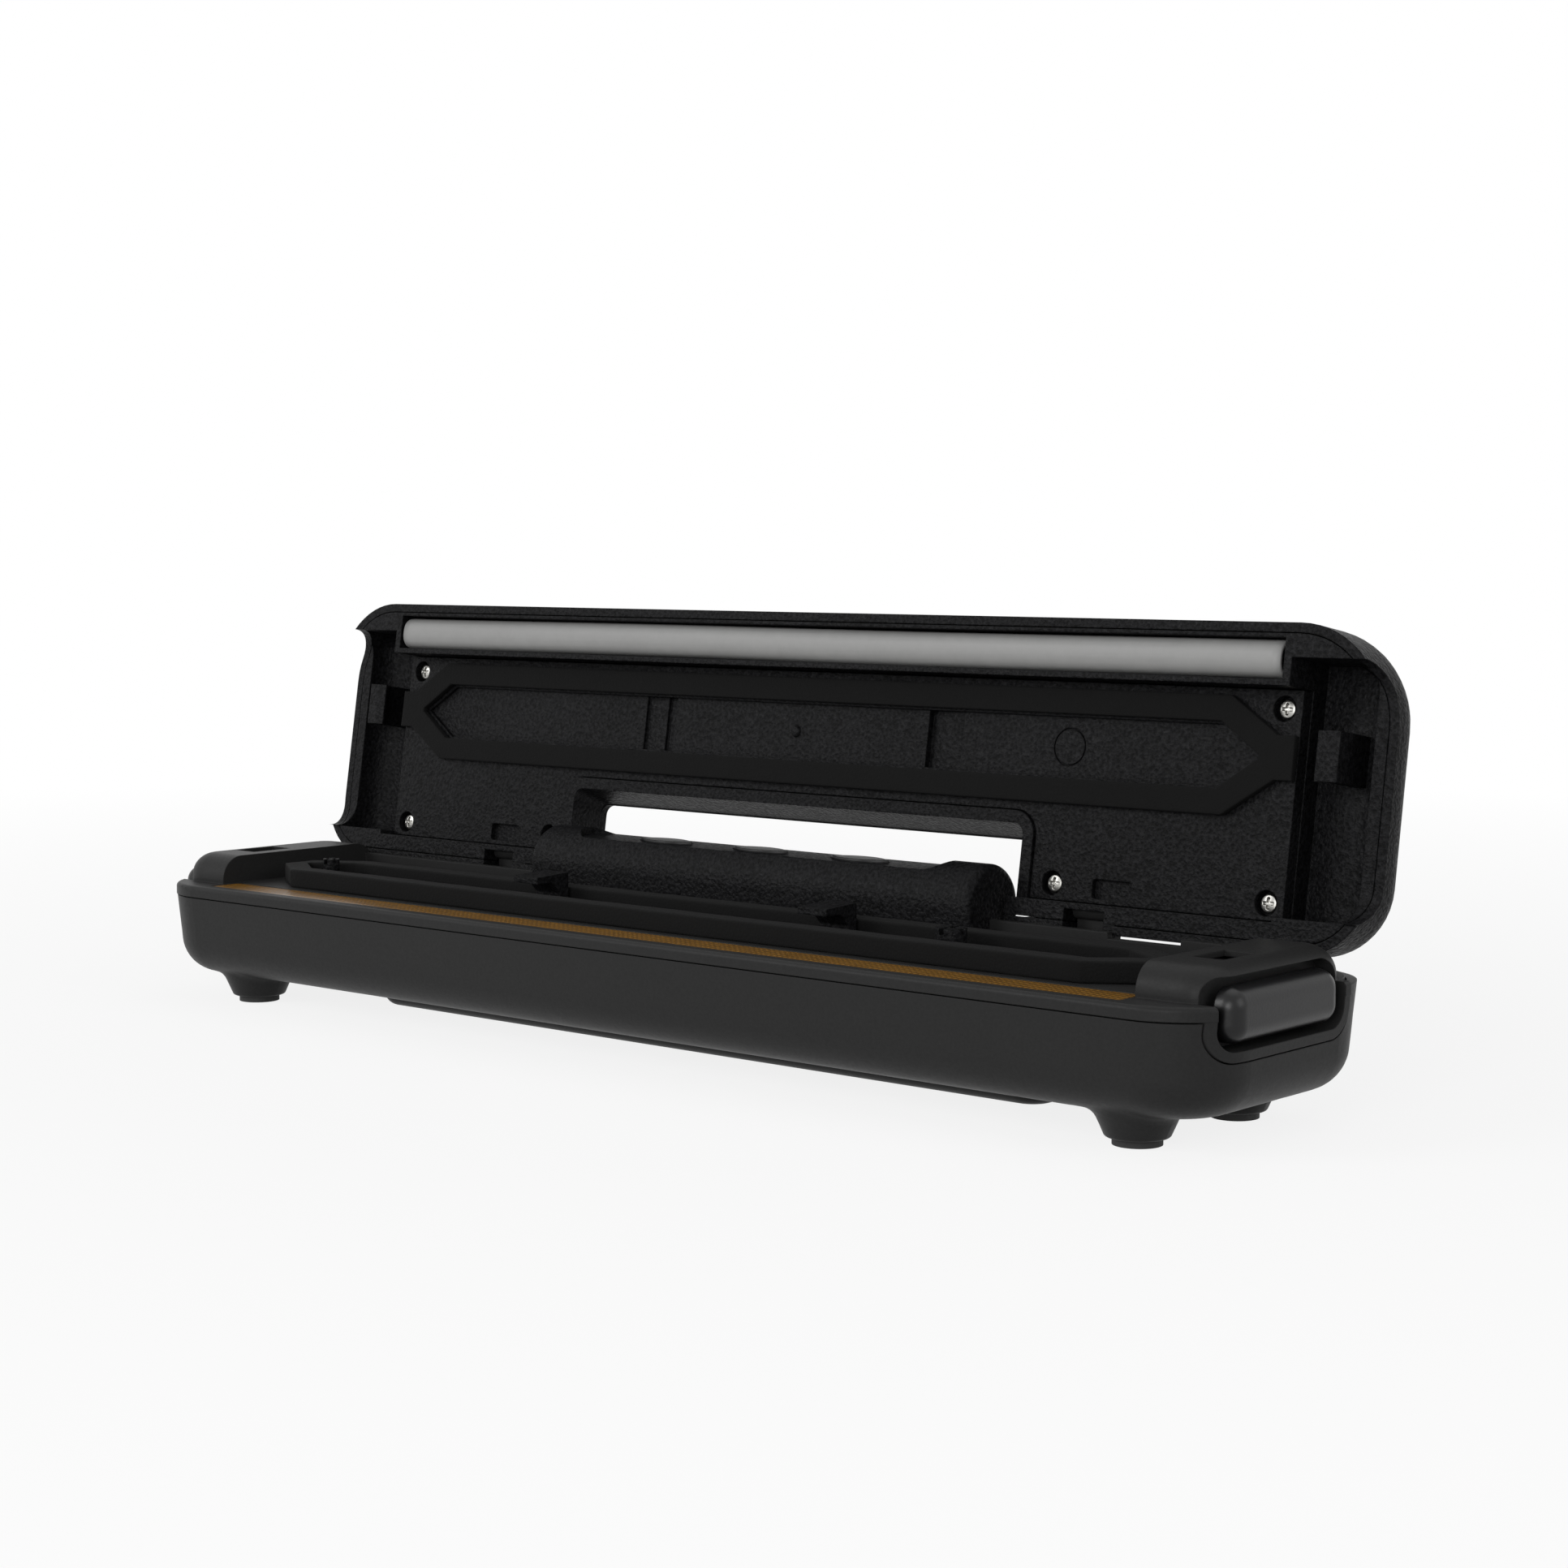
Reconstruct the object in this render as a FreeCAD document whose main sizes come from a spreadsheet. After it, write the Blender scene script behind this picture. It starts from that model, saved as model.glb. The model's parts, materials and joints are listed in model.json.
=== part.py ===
import FreeCAD
import Part
import Sketcher
import os

# Vacuum sealer with its lid open. Millimetres, +Z up, +X along the length, front towards -Y.
# The origin is the middle of the open object's box, on the table.
# Base pieces are drawn from the middle of the base's front face, on the table.
# Lid pieces are drawn closed, from the middle of the hinge axis, and then swung open.

Vector = FreeCAD.Vector
TOUCH = 0.01

SIZES = {
    # casing
    "body_length": 374.0,
    "base_depth": 80.0,
    "corner_round": 20.0,
    "side_draft": 4.0,
    "wall": 2.4,
    "floor_z": 8.3,
    "bottom_round": 11.0,
    "parting_z": 31.8,
    "parting_gap": 0.35,
    "tongue_height": 3.0,
    "tongue_thick": 1.5,
    "tongue_gap": 0.8,
    "rim_z": 35.3,
    "rear_lip_z": 34.5,
    "fit_gap": 0.3,
    "lip_gap": 0.4,
    "rim_round": 1.2,
    "cut_margin": 1.0,
    "seat_gap": 0.05,
    # feet
    "foot_inset": 29.0,
    "foot_setback": 18.0,
    "foot_spacing": 41.4,
    "foot_pad_radius": 5.9,
    "foot_pad_height": 1.8,
    "foot_boss_radius": 7.6,
    "foot_flare": 4.0,
    "foot_taper": 24.0,
    "foot_edge": 1.0,
    # underside cover
    "cover_inset": 66.0,
    "cover_setback": 31.0,
    "cover_depth": 33.0,
    "cover_z": 1.0,
    "cover_corner": 8.0,
    "cover_round": 4.0,
    "cover_margin": 10.0,
    "cover_screw_inset": 5.0,
    "cover_screw_share": 0.25,
    # screws
    "screw_shank": 1.25,
    "screw_head": 2.3,
    "screw_head_height": 1.1,
    "screw_slot": 0.7,
    "screw_cross": 1.6,
    "screw_cross_depth": 0.8,
    "screw_recess": 3.2,
    # end blocks and latches
    "block_inset": 24.0,
    "block_edge": 2.5,
    "block_setback": 9.0,
    "block_depth": 58.5,
    "block_top": 43.4,
    "block_corner": 10.0,
    "block_round": 7.0,
    "block_wall": 1.5,
    "block_skin": 1.0,
    "well_edge": 4.1,
    "well_corner": 12.0,
    "recess_setback": 10.0,
    "recess_depth": 50.3,
    "recess_z": 24.7,
    "recess_top": 41.0,
    "recess_round": 5.0,
    "recess_inset": 8.0,
    "recess_wall": 2.0,
    "cavity_margin": 4.0,
    "slot_setback": 31.5,
    "slot_inset": 15.0,
    "slot_width": 8.5,
    "slot_length": 14.0,
    "hook_offset": 2.5,
    "hook_length": 12.4,
    "hook_stem": 3.5,
    "hook_barb": 2.9,
    "hook_tip_z": 39.1,
    "barb_height": 1.2,
    "catch_height": 1.1,
    "catch_gap": 0.25,
    "catch_overlap": 1.7,
    "catch_stem": 1.5,
    # side buttons
    "button_margin": 2.4,
    "button_z": 26.2,
    "button_height": 12.7,
    "button_inset": 5.5,
    "button_thick": 6.0,
    "button_round": 4.6,
    "stem_width": 9.0,
    "stem_z": 30.5,
    "stem_height": 4.0,
    # sealing bar
    "tape_setback": 4.1,
    "tape_width": 10.0,
    "tape_inset": 25.0,
    "tape_thick": 0.25,
    "element_width": 3.0,
    "element_thick": 0.2,
    "bed_thick": 1.5,
    # vacuum channel
    "ring_setback": 32.35,
    "ring_width": 29.7,
    "ring_band": 6.5,
    "ring_straight_inset": 45.0,
    "ring_inset": 31.0,
    "ring_tail": 11.0,
    "tip_inset": 35.2,
    "tip_straight_inset": 47.2,
    "lower_foam": 5.45,
    "upper_foam": 2.2,
    "tray_thick": 1.5,
    "stop_centre": 52.3,
    "stop_length": 9.5,
    "stop_reach": 12.0,
    "stop_gap": 1.0,
    "stop_top": 45.0,
    "stop_thick": 2.4,
    "stop_stem": 3.2,
    "port_x": 93.0,
    "port_radius": 4.0,
    "port_bore": 1.1,
    "port_top": 42.6,
    "sensor_inset": 46.0,
    "sensor_radius": 2.4,
    "sensor_bore": 0.9,
    "notch_width": 1.4,
    "notch_depth": 1.6,
    "rib_setback": 52.5,
    "rib_thick": 1.5,
    "rib_top": 38.0,
    "ledge_setback": 64.6,
    "ledge_thick": 2.0,
    "ledge_top": 40.2,
    "ledge_notch_x": 128.0,
    "ledge_notch_length": 21.5,
    "ledge_notch_top": 38.6,
    # control housing
    "hump_setback": 66.8,
    "hump_axis_z": 43.3,
    "hump_radius": 11.0,
    "hump_length": 160.6,
    "hump_edge": 2.0,
    "hump_shoulder": 2.8,
    "panel_z": 52.2,
    "panel_length": 134.0,
    "panel_width": 13.4,
    "panel_thick": 2.0,
    "key_pitch": 35.6,
    "key_length": 20.0,
    "key_width": 7.6,
    "key_proud": 0.7,
    "key_gap": 0.3,
    "key_flange": 1.2,
    "key_flange_reach": 1.0,
    "key_flange_rim": 0.5,
    "board_margin": 1.0,
    "board_thick": 1.6,
    "board_z": 44.0,
    # hinge
    "hinge_setback": 74.2,
    "hinge_z": 43.3,
    "hinge_centre": 107.0,
    "post_width": 11.5,
    "post_front": 0.1,
    "post_thick": 2.7,
    "knuckle_radius": 1.9,
    "pin_radius": 1.0,
    "pin_length": 21.0,
    "run_gap": 0.05,
    "post_gap": 0.45,
    "lid_opening": 99.1,
    # lid
    "seam_gap": 0.25,
    "lid_rear": 5.3,
    "lid_rim": 7.7,
    "rear_rim": 5.4,
    "lid_top": 13.8,
    "lid_front_corner": 24.0,
    "lid_rear_corner": 18.0,
    "lid_edge_round": 10.0,
    "frame_floor": 4.1,
    "frame_back": 11.3,
    "frame_sheet": 1.8,
    "window_length": 164.6,
    "window_front": 21.2,
    "window_corner": 3.0,
    "window_lean": 3.9,
    "border_width": 3.3,
    "border_proud": 0.8,
    "plate_inset": 26.0,
    "plate_front": 58.6,
    "plate_rear": 2.3,
    "plate_face": 0.1,
    "panel_sink": 1.2,
    "stop_pocket": 2.2,
    "stop_slot": 4.2,
    "stop_slot_depth": 3.2,
    "mark_radius": 5.0,
    "mark_width": 0.4,
    "mark_depth": 0.6,
    "boss_radius": 1.6,
    "boss_height": 0.9,
    "boss_round": 0.8,
    "dent_x": 111.0,
    "dent_y": 6.0,
    "dent_length": 12.0,
    "dent_width": 5.0,
    "dent_depth": 1.8,
    "dent_round": 1.0,
    "strip_inset": 29.0,
    "strip_front": 70.3,
    "strip_width": 9.6,
    "strip_seat": 0.2,
    "strip_wall": 1.4,
    "well_front": 65.8,
    "well_rear": 3.2,
    "lid_well_inset": 25.7,
    "lid_well_edge": 6.0,
    "well_floor": 10.3,
    "well_curve": 7.5,
    "arch_rise": 0.8,
    "arch_round": 8.0,
    "lid_screw_inset": 31.0,
    "lid_screw_front": 54.0,
    "lid_screw_rear": 6.5,
    "lid_screw_inner": 92.4,
    "screw_sink": 2.2,
    # parts inside the base
    "pump_length": 26.0,
    "pump_depth": 24.0,
    "pump_height": 17.0,
    "pump_x": 34.0,
    "motor_radius": 8.4,
    "motor_length": 30.0,
    "hose_radius": 3.0,
    "hose_bore": 1.7,
    "spigot_radius": 1.6,
    "spigot_length": 4.0,
    "hose_bend": 7.0,
    "transformer_length": 40.0,
    "transformer_depth": 34.0,
    "transformer_height": 16.0,
    "transformer_x": -92.0,
    "power_board_length": 80.0,
    "power_board_depth": 24.0,
    "power_board_x": -86.0,
    "switch_inset": 55.0,
    "switch_length": 13.0,
    "switch_depth": 6.0,
    "switch_height": 7.0,
    "gland_inset": 67.0,
    "gland_z": 20.0,
    "gland_bore": 3.4,
    "gland_neck": 5.4,
    "gland_flange": 8.0,
    "gland_flange_thick": 2.0,
    "gland_length": 10.0,
}

FORMULAS = {
    "half_length": "=body_length / 2",
    "foot_height": "=floor_z + wall - foot_pad_height",
    "foot_root": "=foot_boss_radius + foot_height * tan(foot_taper)",
    "foot_spread": "=body_length - 2 * foot_inset",
    "cover_length": "=body_length - 2 * cover_inset",
    "block_inner": "=half_length - block_inset",
    "block_outer": "=half_length - block_edge",
    "well_reach": "=half_length - well_edge",
    "recess_floor": "=half_length - recess_inset",
    "slot_centre": "=half_length - slot_inset",
    "button_back": "=half_length - button_inset",
    "tape_length": "=body_length - 2 * tape_inset",
    "ring_straight": "=body_length - 2 * ring_straight_inset",
    "ring_length": "=body_length - 2 * ring_inset",
    "ring_tip": "=body_length - 2 * tip_inset",
    "ring_tip_straight": "=body_length - 2 * tip_straight_inset",
    "sensor_x": "=half_length - sensor_inset",
    "plate_length": "=body_length - 2 * plate_inset",
    "strip_length": "=body_length - 2 * strip_inset",
    "well_inner": "=half_length - lid_well_inset",
    "well_outer": "=half_length - lid_well_edge",
    "lid_screw_x": "=half_length - lid_screw_inset",
    "switch_x": "=half_length - switch_inset",
    "gland_x": "=-half_length + gland_inset",
    "rim_low": "=parting_z + parting_gap / 2",
    "inset": "=wall + lip_gap",
    "rear_lip_start": "=recess_setback + recess_depth + wall + fit_gap",
    "reach_front": "=hinge_setback - lid_edge_round",
    "reach_top": "=lid_top - lid_edge_round",
    "open_front": "=reach_front * cos(lid_opening) - reach_top * sin(lid_opening)",
    "open_depth": "=hinge_setback + lid_edge_round - open_front",
    "front_y": "=-open_depth / 2",
    "ring_y": "=ring_setback - hinge_setback",
    "catch_z": "=block_top - block_wall - catch_height - catch_gap",
    "hook_back": "=slot_centre + hook_offset",
    "hook_front": "=hook_back - hook_stem",
    "barb_tip": "=hook_front - hook_barb",
    "tray_z": "=rim_z + seat_gap",
    "frame_inset": "=wall + seam_gap",
    "border_face": "=plate_face - border_proud",
    "hump_top": "=hump_axis_z + hump_radius + cut_margin",
    "pump_y": "=ring_setback - pump_depth / 2",
    "inner_floor": "=floor_z + wall + seat_gap",
    "pump_z": "=inner_floor",
    "hose_low": "=pump_z + pump_height / 2",
}

doc = FreeCAD.newDocument("vacuum_sealer")
size = doc.addObject("Spreadsheet::Sheet", "size")
for row, (alias, entry) in enumerate({**SIZES, **FORMULAS}.items(), start=1):
    size.set(f"A{row}", alias)
    size.set(f"B{row}", str(entry))
    size.setAlias(f"B{row}", alias)
doc.recompute()

pieces = []


def value(expression):
    """Number that an expression on the sheet gives now."""
    found = size.evalExpression(expression)
    return float(getattr(found, "Value", found))


def place_on_base(piece):
    piece.setExpression("Placement.Base.y", "size.front_y")


def place_on_lid(piece):
    swing = FreeCAD.Rotation(Vector(-1, 0, 0), value("size.lid_opening"))
    piece.Placement = FreeCAD.Placement(Vector(), swing)
    piece.setExpression("Placement.Base.y", "size.front_y + size.hinge_setback")
    piece.setExpression("Placement.Base.z", "size.hinge_z")
    piece.setExpression("Placement.Rotation.Angle", "size.lid_opening")


def new_body(name, place):
    body = doc.addObject("PartDesign::Body", name)
    body.AllowCompound = True
    place(body)
    pieces.append(body)
    return body


def new_sketch(body, plane, offset="0"):
    """Empty sketch on one of the body's own planes, moved along that plane's normal."""
    sketch = body.newObject("Sketcher::SketchObject", "Sketch")
    support = [item for item in body.Origin.OriginFeatures if item.Role == plane + "_Plane"][0]
    sketch.AttachmentSupport = (support, [""])
    sketch.MapMode = "FlatFace"
    sketch.setExpression("AttachmentOffset.Base.z", offset)
    return sketch


def bind(sketch, index, name, expression):
    sketch.renameConstraint(index, name)
    sketch.setExpression("Constraints." + name, expression)


def pin_point(sketch, geometry, end, across, up):
    """Hold one point of a sketch at two expressions."""
    for kind, expression in (("DistanceX", across), ("DistanceY", up)):
        rule = Sketcher.Constraint(kind, -1, 1, geometry, end, value(expression))
        bind(sketch, sketch.addConstraint(rule), f"{kind}_{geometry}_{end}", expression)


def add_polygon(sketch, corners):
    """Closed outline of straight lines through corners given as pairs of expressions."""
    points = [Vector(value(across), value(up), 0) for across, up in corners]
    first = sketch.GeometryCount
    for start, end in zip(points, points[1:] + points[:1]):
        sketch.addGeometry(Part.LineSegment(start, end), False)
    for index in range(len(points)):
        following = first + (index + 1) % len(points)
        sketch.addConstraint(Sketcher.Constraint("Coincident", first + index, 2, following, 1))
    for index, (across, up) in enumerate(corners):
        pin_point(sketch, first + index, 1, across, up)


def add_box(sketch, left, right, low, high):
    add_polygon(sketch, [(left, low), (right, low), (right, high), (left, high)])


def towards(here, there, step):
    """Point at one step from one corner to the next along an axis of the sketch."""
    gap = [value(there[axis]) - value(here[axis]) for axis in (0, 1)]
    axis = 0 if abs(gap[0]) > abs(gap[1]) else 1
    sign = "+" if gap[axis] > 0 else "-"
    point = [here[0], here[1]]
    point[axis] = f"({here[axis]}) {sign} ({step})"
    return point


def add_rounded_polygon(sketch, corners, rounds):
    """Outline along the axes of the sketch with a radius, or None, for each of its corners."""
    count = len(corners)
    runs = []
    for index, corner in enumerate(corners):
        radius = rounds[index]
        before = towards(corner, corners[index - 1], radius) if radius else corner
        after = towards(corner, corners[(index + 1) % count], radius) if radius else corner
        runs.append((before, after, radius))
    first = sketch.GeometryCount
    for index, (before, after, radius) in enumerate(runs):
        end = runs[(index + 1) % count][0]
        start_point = Vector(value(after[0]), value(after[1]), 0)
        end_point = Vector(value(end[0]), value(end[1]), 0)
        sketch.addGeometry(Part.LineSegment(start_point, end_point), False)
    for index, (before, after, radius) in enumerate(runs):
        previous = first + (index - 1) % count
        pin_point(sketch, first + index, 1, after[0], after[1])
        if not radius:
            sketch.addConstraint(Sketcher.Constraint("Coincident", previous, 2, first + index, 1))
            continue
        pin_point(sketch, previous, 2, before[0], before[1])
        add_corner(sketch, previous, first + index, corners[index], radius)


def add_rounded_box(sketch, left, right, low, high, rounds):
    """Rectangle with a radius, or None, for each corner in the order of its sides: low, right, high, left."""
    add_rounded_polygon(sketch, [(left, low), (right, low), (right, high), (left, high)], rounds)


def add_corner(sketch, incoming, outgoing, corner, radius):
    """Arc that joins the ends of two lines short of their common corner."""
    tip = Vector(value(corner[0]), value(corner[1]), 0)
    start = sketch.getPoint(incoming, 2)
    end = sketch.getPoint(outgoing, 1)
    centre = start + end - tip
    middle = centre + (tip - centre) * (value(radius) / (tip - centre).Length)
    index = sketch.addGeometry(Part.ArcOfCircle(start, middle, end), False)
    head = 1 if (sketch.getPoint(index, 1) - start).Length < TOUCH else 2
    sketch.addConstraint(Sketcher.Constraint("Coincident", incoming, 2, index, head))
    sketch.addConstraint(Sketcher.Constraint("Coincident", index, 3 - head, outgoing, 1))
    rule = sketch.addConstraint(Sketcher.Constraint("Radius", index, value(radius)))
    bind(sketch, rule, f"radius_{index}", radius)


def add_circle(sketch, across, up, radius):
    circle = Part.Circle(Vector(value(across), value(up), 0), Vector(0, 0, 1), value(radius))
    index = sketch.addGeometry(circle, False)
    pin_point(sketch, index, 3, across, up)
    rule = sketch.addConstraint(Sketcher.Constraint("Radius", index, value(radius)))
    bind(sketch, rule, f"radius_{index}", radius)


def add_lens(sketch, across, up, length, width):
    """Outline of two arcs that meet in points at both ends of the length."""
    x = value(across)
    y = value(up)
    half = value(length) / 2
    rise = value(width) / 2
    left = Vector(x - half, y, 0)
    right = Vector(x + half, y, 0)
    first = sketch.GeometryCount
    for height in (rise, -rise):
        sketch.addGeometry(Part.ArcOfCircle(left, Vector(x, y + height, 0), right), False)
    radius = f"(({length})^2 + ({width})^2) / (4 * ({width}))"
    for index, sign in ((first, -1), (first + 1, 1)):
        pin_point(sketch, index, 3, across, f"{up} + {sign} * ({radius} - ({width}) / 2)")
        rule = sketch.addConstraint(Sketcher.Constraint("Radius", index, value(radius)))
        bind(sketch, rule, f"radius_{index}", radius)
    start = 1 if sketch.getPoint(first, 1).x < x else 2
    other = 1 if sketch.getPoint(first + 1, 1).x < x else 2
    sketch.addConstraint(Sketcher.Constraint("Coincident", first, start, first + 1, other))
    sketch.addConstraint(Sketcher.Constraint("Coincident", first, 3 - start, first + 1, 3 - other))


def shape_from(body, kind, sketch, length, backwards=False, taper=None):
    feature = body.newObject("PartDesign::" + kind, kind)
    feature.Profile = sketch
    feature.setExpression("Length", length)
    feature.Reversed = backwards
    if taper:
        feature.setExpression("TaperAngle", taper)
    doc.recompute()
    return feature


def pad(body, sketch, length, backwards=False, taper=None):
    before = body.Tip.Shape.Volume if body.Tip else 0.0
    feature = shape_from(body, "Pad", sketch, length, backwards, taper)
    if feature.Shape.Volume <= before:
        raise ValueError(body.Name + ": a pad added nothing")


def pocket(body, sketch, length, backwards=False, taper=None):
    before = body.Tip.Shape.Volume
    feature = shape_from(body, "Pocket", sketch, length, backwards, taper)
    if feature.Shape.Volume >= before:
        raise ValueError(body.Name + ": a pocket removed nothing")


def round_edges(body, radius, wanted):
    """Round every edge for which wanted(edge) holds."""
    base = body.Tip
    names = [f"Edge{number}" for number, edge in enumerate(base.Shape.Edges, start=1) if wanted(edge)]
    if not names:
        raise ValueError(body.Name + ": no edge to round")
    feature = body.newObject("PartDesign::Fillet", "Fillet")
    feature.Base = (base, names)
    feature.setExpression("Radius", radius)
    doc.recompute()
    if not feature.isValid() or feature.Shape.isNull():
        raise ValueError(body.Name + ": an edge could not be rounded")


def is_upright(edge):
    box = edge.BoundBox
    return box.ZLength > 2 * max(box.XLength, box.YLength)


def is_level_at(height):
    """Test for edges that lie in one level plane."""
    level = value(height)


    def test(edge):
        heights = [edge.CenterOfMass.z] + [vertex.Z for vertex in edge.Vertexes]
        return all(abs(height - level) < TOUCH for height in heights)

    return test


def runs_along_x(across, up):
    """Test for edges along X at one place in the YZ plane."""
    y = value(across)
    z = value(up)

    def test(edge):
        box = edge.BoundBox
        thin = box.YLength < TOUCH and box.ZLength < TOUCH
        return thin and abs(box.YMin - y) < TOUCH and abs(box.ZMin - z) < TOUCH

    return test


def stands_at(across, along):
    """Test for upright edges at one place in the XY plane, on both sides of the middle."""
    x = value(across)
    y = value(along)

    def test(edge):
        box = edge.BoundBox
        return is_upright(edge) and abs(abs(box.XMin) - x) < TOUCH and abs(box.YMin - y) < TOUCH

    return test


def solid_box(name, place, low, high):
    """Plain box between two corners, each given as three expressions."""
    group = doc.addObject("Part::Box", name)
    place(group)
    for label, start, end in zip(("Length", "Width", "Height"), low, high):
        group.setExpression(label, f"({end}) - ({start})")
    group.setExpression("Placement.Base.x", low[0])
    group.setExpression("Placement.Base.y", f"size.front_y + ({low[1]})")
    group.setExpression("Placement.Base.z", low[2])
    pieces.append(group)
    return group


FEET = [(side, row) for side in ("-size.foot_spread / 2", "size.foot_spread / 2")
        for row in ("size.foot_setback", "size.foot_setback + size.foot_spacing")]

COVER_SCREWS = [(side, f"size.cover_setback + size.cover_depth * {share}")
                for side in ("-(size.cover_length / 2 - size.cover_screw_inset)",
                             "size.cover_length / 2 - size.cover_screw_inset")
                for share in ("size.cover_screw_share", "(1 - size.cover_screw_share)")]

LID_SCREWS = [(f"{side} * {across}", f"-{along}")
              for side in (-1, 1)
              for across, along in (("size.lid_screw_x", "size.lid_screw_front"),
                                    ("size.lid_screw_x", "size.lid_screw_rear"),
                                    ("size.lid_screw_inner", "size.lid_screw_rear"))]


def make_lower_casing():
    body = new_body("lower_casing", place_on_base)
    outline = new_sketch(body, "XY", "size.rear_lip_z")
    add_box(outline, "-size.half_length", "size.half_length", "0", "size.base_depth")
    pad(body, outline, "size.rear_lip_z - size.floor_z", True, "-size.side_draft")
    inside = new_sketch(body, "XY", "size.rear_lip_z")
    add_box(inside, "-size.half_length + size.wall", "size.half_length - size.wall",
            "size.wall", "size.base_depth - size.wall")
    pocket(body, inside, "size.rear_lip_z - size.floor_z - size.wall", False, "-size.side_draft")
    edge_of_tub = value("size.half_length - size.wall / 2")
    round_edges(body, "size.corner_round - size.wall",
                lambda edge: is_upright(edge) and max(abs(v.X) for v in edge.Vertexes) < edge_of_tub)
    round_edges(body, "size.bottom_round - size.wall", is_level_at("size.floor_z + size.wall"))
    round_edges(body, "size.corner_round",
                lambda edge: is_upright(edge) and max(abs(v.X) for v in edge.Vertexes) > edge_of_tub)
    round_edges(body, "size.bottom_round", is_level_at("size.floor_z"))

    front = new_sketch(body, "XY", "size.rear_lip_z")
    add_box(front, "-size.half_length - size.cut_margin", "size.half_length + size.cut_margin",
            "-size.cut_margin", "size.rear_lip_start")
    pocket(body, front, "size.rear_lip_z - size.parting_z + size.parting_gap / 2")

    ends = new_sketch(body, "YZ", "-size.half_length - size.cut_margin")
    around = "(size.wall + size.parting_gap)"
    corner = f"size.recess_round + {around}"
    add_rounded_box(ends, f"size.recess_setback - {around}",
                    f"size.recess_setback + size.recess_depth + {around}",
                    f"size.recess_z - {around}", "size.rear_lip_z + size.cut_margin",
                    (corner, corner, None, None))
    pocket(body, ends, "size.body_length + 2 * size.cut_margin", True)

    feet = new_sketch(body, "XY", "size.floor_z + size.wall")
    for across, along in FEET:
        add_circle(feet, across, along, "size.foot_root")
    pad(body, feet, "size.foot_height", True, "-size.foot_taper")
    centres = [Vector(value(across), value(along), 0) for across, along in FEET]
    reach = value("size.foot_root")

    def on_a_foot(edge):
        flat = [Vector(vertex.X, vertex.Y, 0) for vertex in edge.Vertexes]
        return any(all((point - centre).Length < reach for point in flat) for centre in centres)

    low = value("size.foot_pad_height") + TOUCH
    high = value("size.floor_z + size.wall") - TOUCH

    def meets_shell(edge):
        rise = edge.BoundBox.ZLength
        across = max(edge.BoundBox.XLength, edge.BoundBox.YLength)
        return on_a_foot(edge) and low < edge.CenterOfMass.z < high and rise < across / 2

    round_edges(body, "size.foot_flare", meets_shell)
    round_edges(body, "size.foot_edge", lambda edge: on_a_foot(edge) and edge.CenterOfMass.z < low)

    hatch = new_sketch(body, "XY", "size.floor_z + size.wall")
    half_hatch = "(size.cover_length / 2 - size.cover_margin)"
    add_box(hatch, "-" + half_hatch, half_hatch, "size.cover_setback + size.cover_round",
            "size.cover_setback + size.cover_depth - size.cover_round")
    pocket(body, hatch, "size.wall + size.cut_margin")
    holes = new_sketch(body, "XY", "size.floor_z + size.wall")
    for across, along in COVER_SCREWS:
        add_circle(holes, across, along, "size.screw_shank + size.run_gap")
    pocket(body, holes, "size.wall + size.cut_margin")

    gland = new_sketch(body, "XZ", "-size.base_depth - size.cut_margin")
    add_circle(gland, "size.gland_x", "size.gland_z", "size.gland_neck + size.seat_gap")
    pocket(body, gland, "size.gland_length", True)


def make_bottom_cover():
    body = new_body("bottom_cover", place_on_base)
    half = "size.cover_length / 2"
    rear = "size.cover_setback + size.cover_depth"
    outline = new_sketch(body, "XY", "size.cover_z")
    add_box(outline, "-" + half, half, "size.cover_setback", rear)
    pad(body, outline, "size.floor_z - size.cover_z - size.seat_gap")
    round_edges(body, "size.cover_corner", is_upright)
    round_edges(body, "size.cover_round", is_level_at("size.cover_z"))
    inside = new_sketch(body, "XY", "size.floor_z")
    add_box(inside, f"-({half} - size.cover_margin)", f"{half} - size.cover_margin",
            "size.cover_setback + size.cover_round", rear + " - size.cover_round")
    pocket(body, inside, "size.floor_z - size.cover_z - size.wall")
    shafts = new_sketch(body, "XY", "size.floor_z")
    heads = new_sketch(body, "XY", "size.cover_z")
    for across, along in COVER_SCREWS:
        add_circle(shafts, across, along, "size.screw_shank + size.fit_gap")
        add_circle(heads, across, along, "size.screw_head + size.fit_gap")
    pocket(body, shafts, "size.floor_z - size.cover_z")
    pocket(body, heads, "size.screw_head_height + size.fit_gap", True)


def make_screws(name, place, spots, face, length, upwards):
    """Cross-head screws whose heads have their outer face at one height."""
    body = new_body(name, place)
    heads = new_sketch(body, "XY", face)
    shanks = new_sketch(body, "XY", face)
    for across, along in spots:
        add_circle(heads, across, along, "size.screw_head")
        add_circle(shanks, across, along, "size.screw_shank")
    pad(body, heads, "size.screw_head_height", not upwards)
    pad(body, shanks, length, not upwards)
    reach = "size.screw_cross"
    for wide, high in ((reach, "size.screw_slot / 2"), ("size.screw_slot / 2", reach)):
        slots = new_sketch(body, "XY", face)
        for across, along in spots:
            add_box(slots, f"{across} - {wide}", f"{across} + {wide}",
                    f"{along} - {high}", f"{along} + {high}")
        pocket(body, slots, "size.screw_cross_depth", upwards)


def make_foot_pads():
    body = new_body("foot_pads", place_on_base)
    sketch = new_sketch(body, "XY")
    for across, along in FEET:
        add_circle(sketch, across, along, "size.foot_pad_radius")
    pad(body, sketch, "size.foot_pad_height - size.seat_gap")


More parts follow.
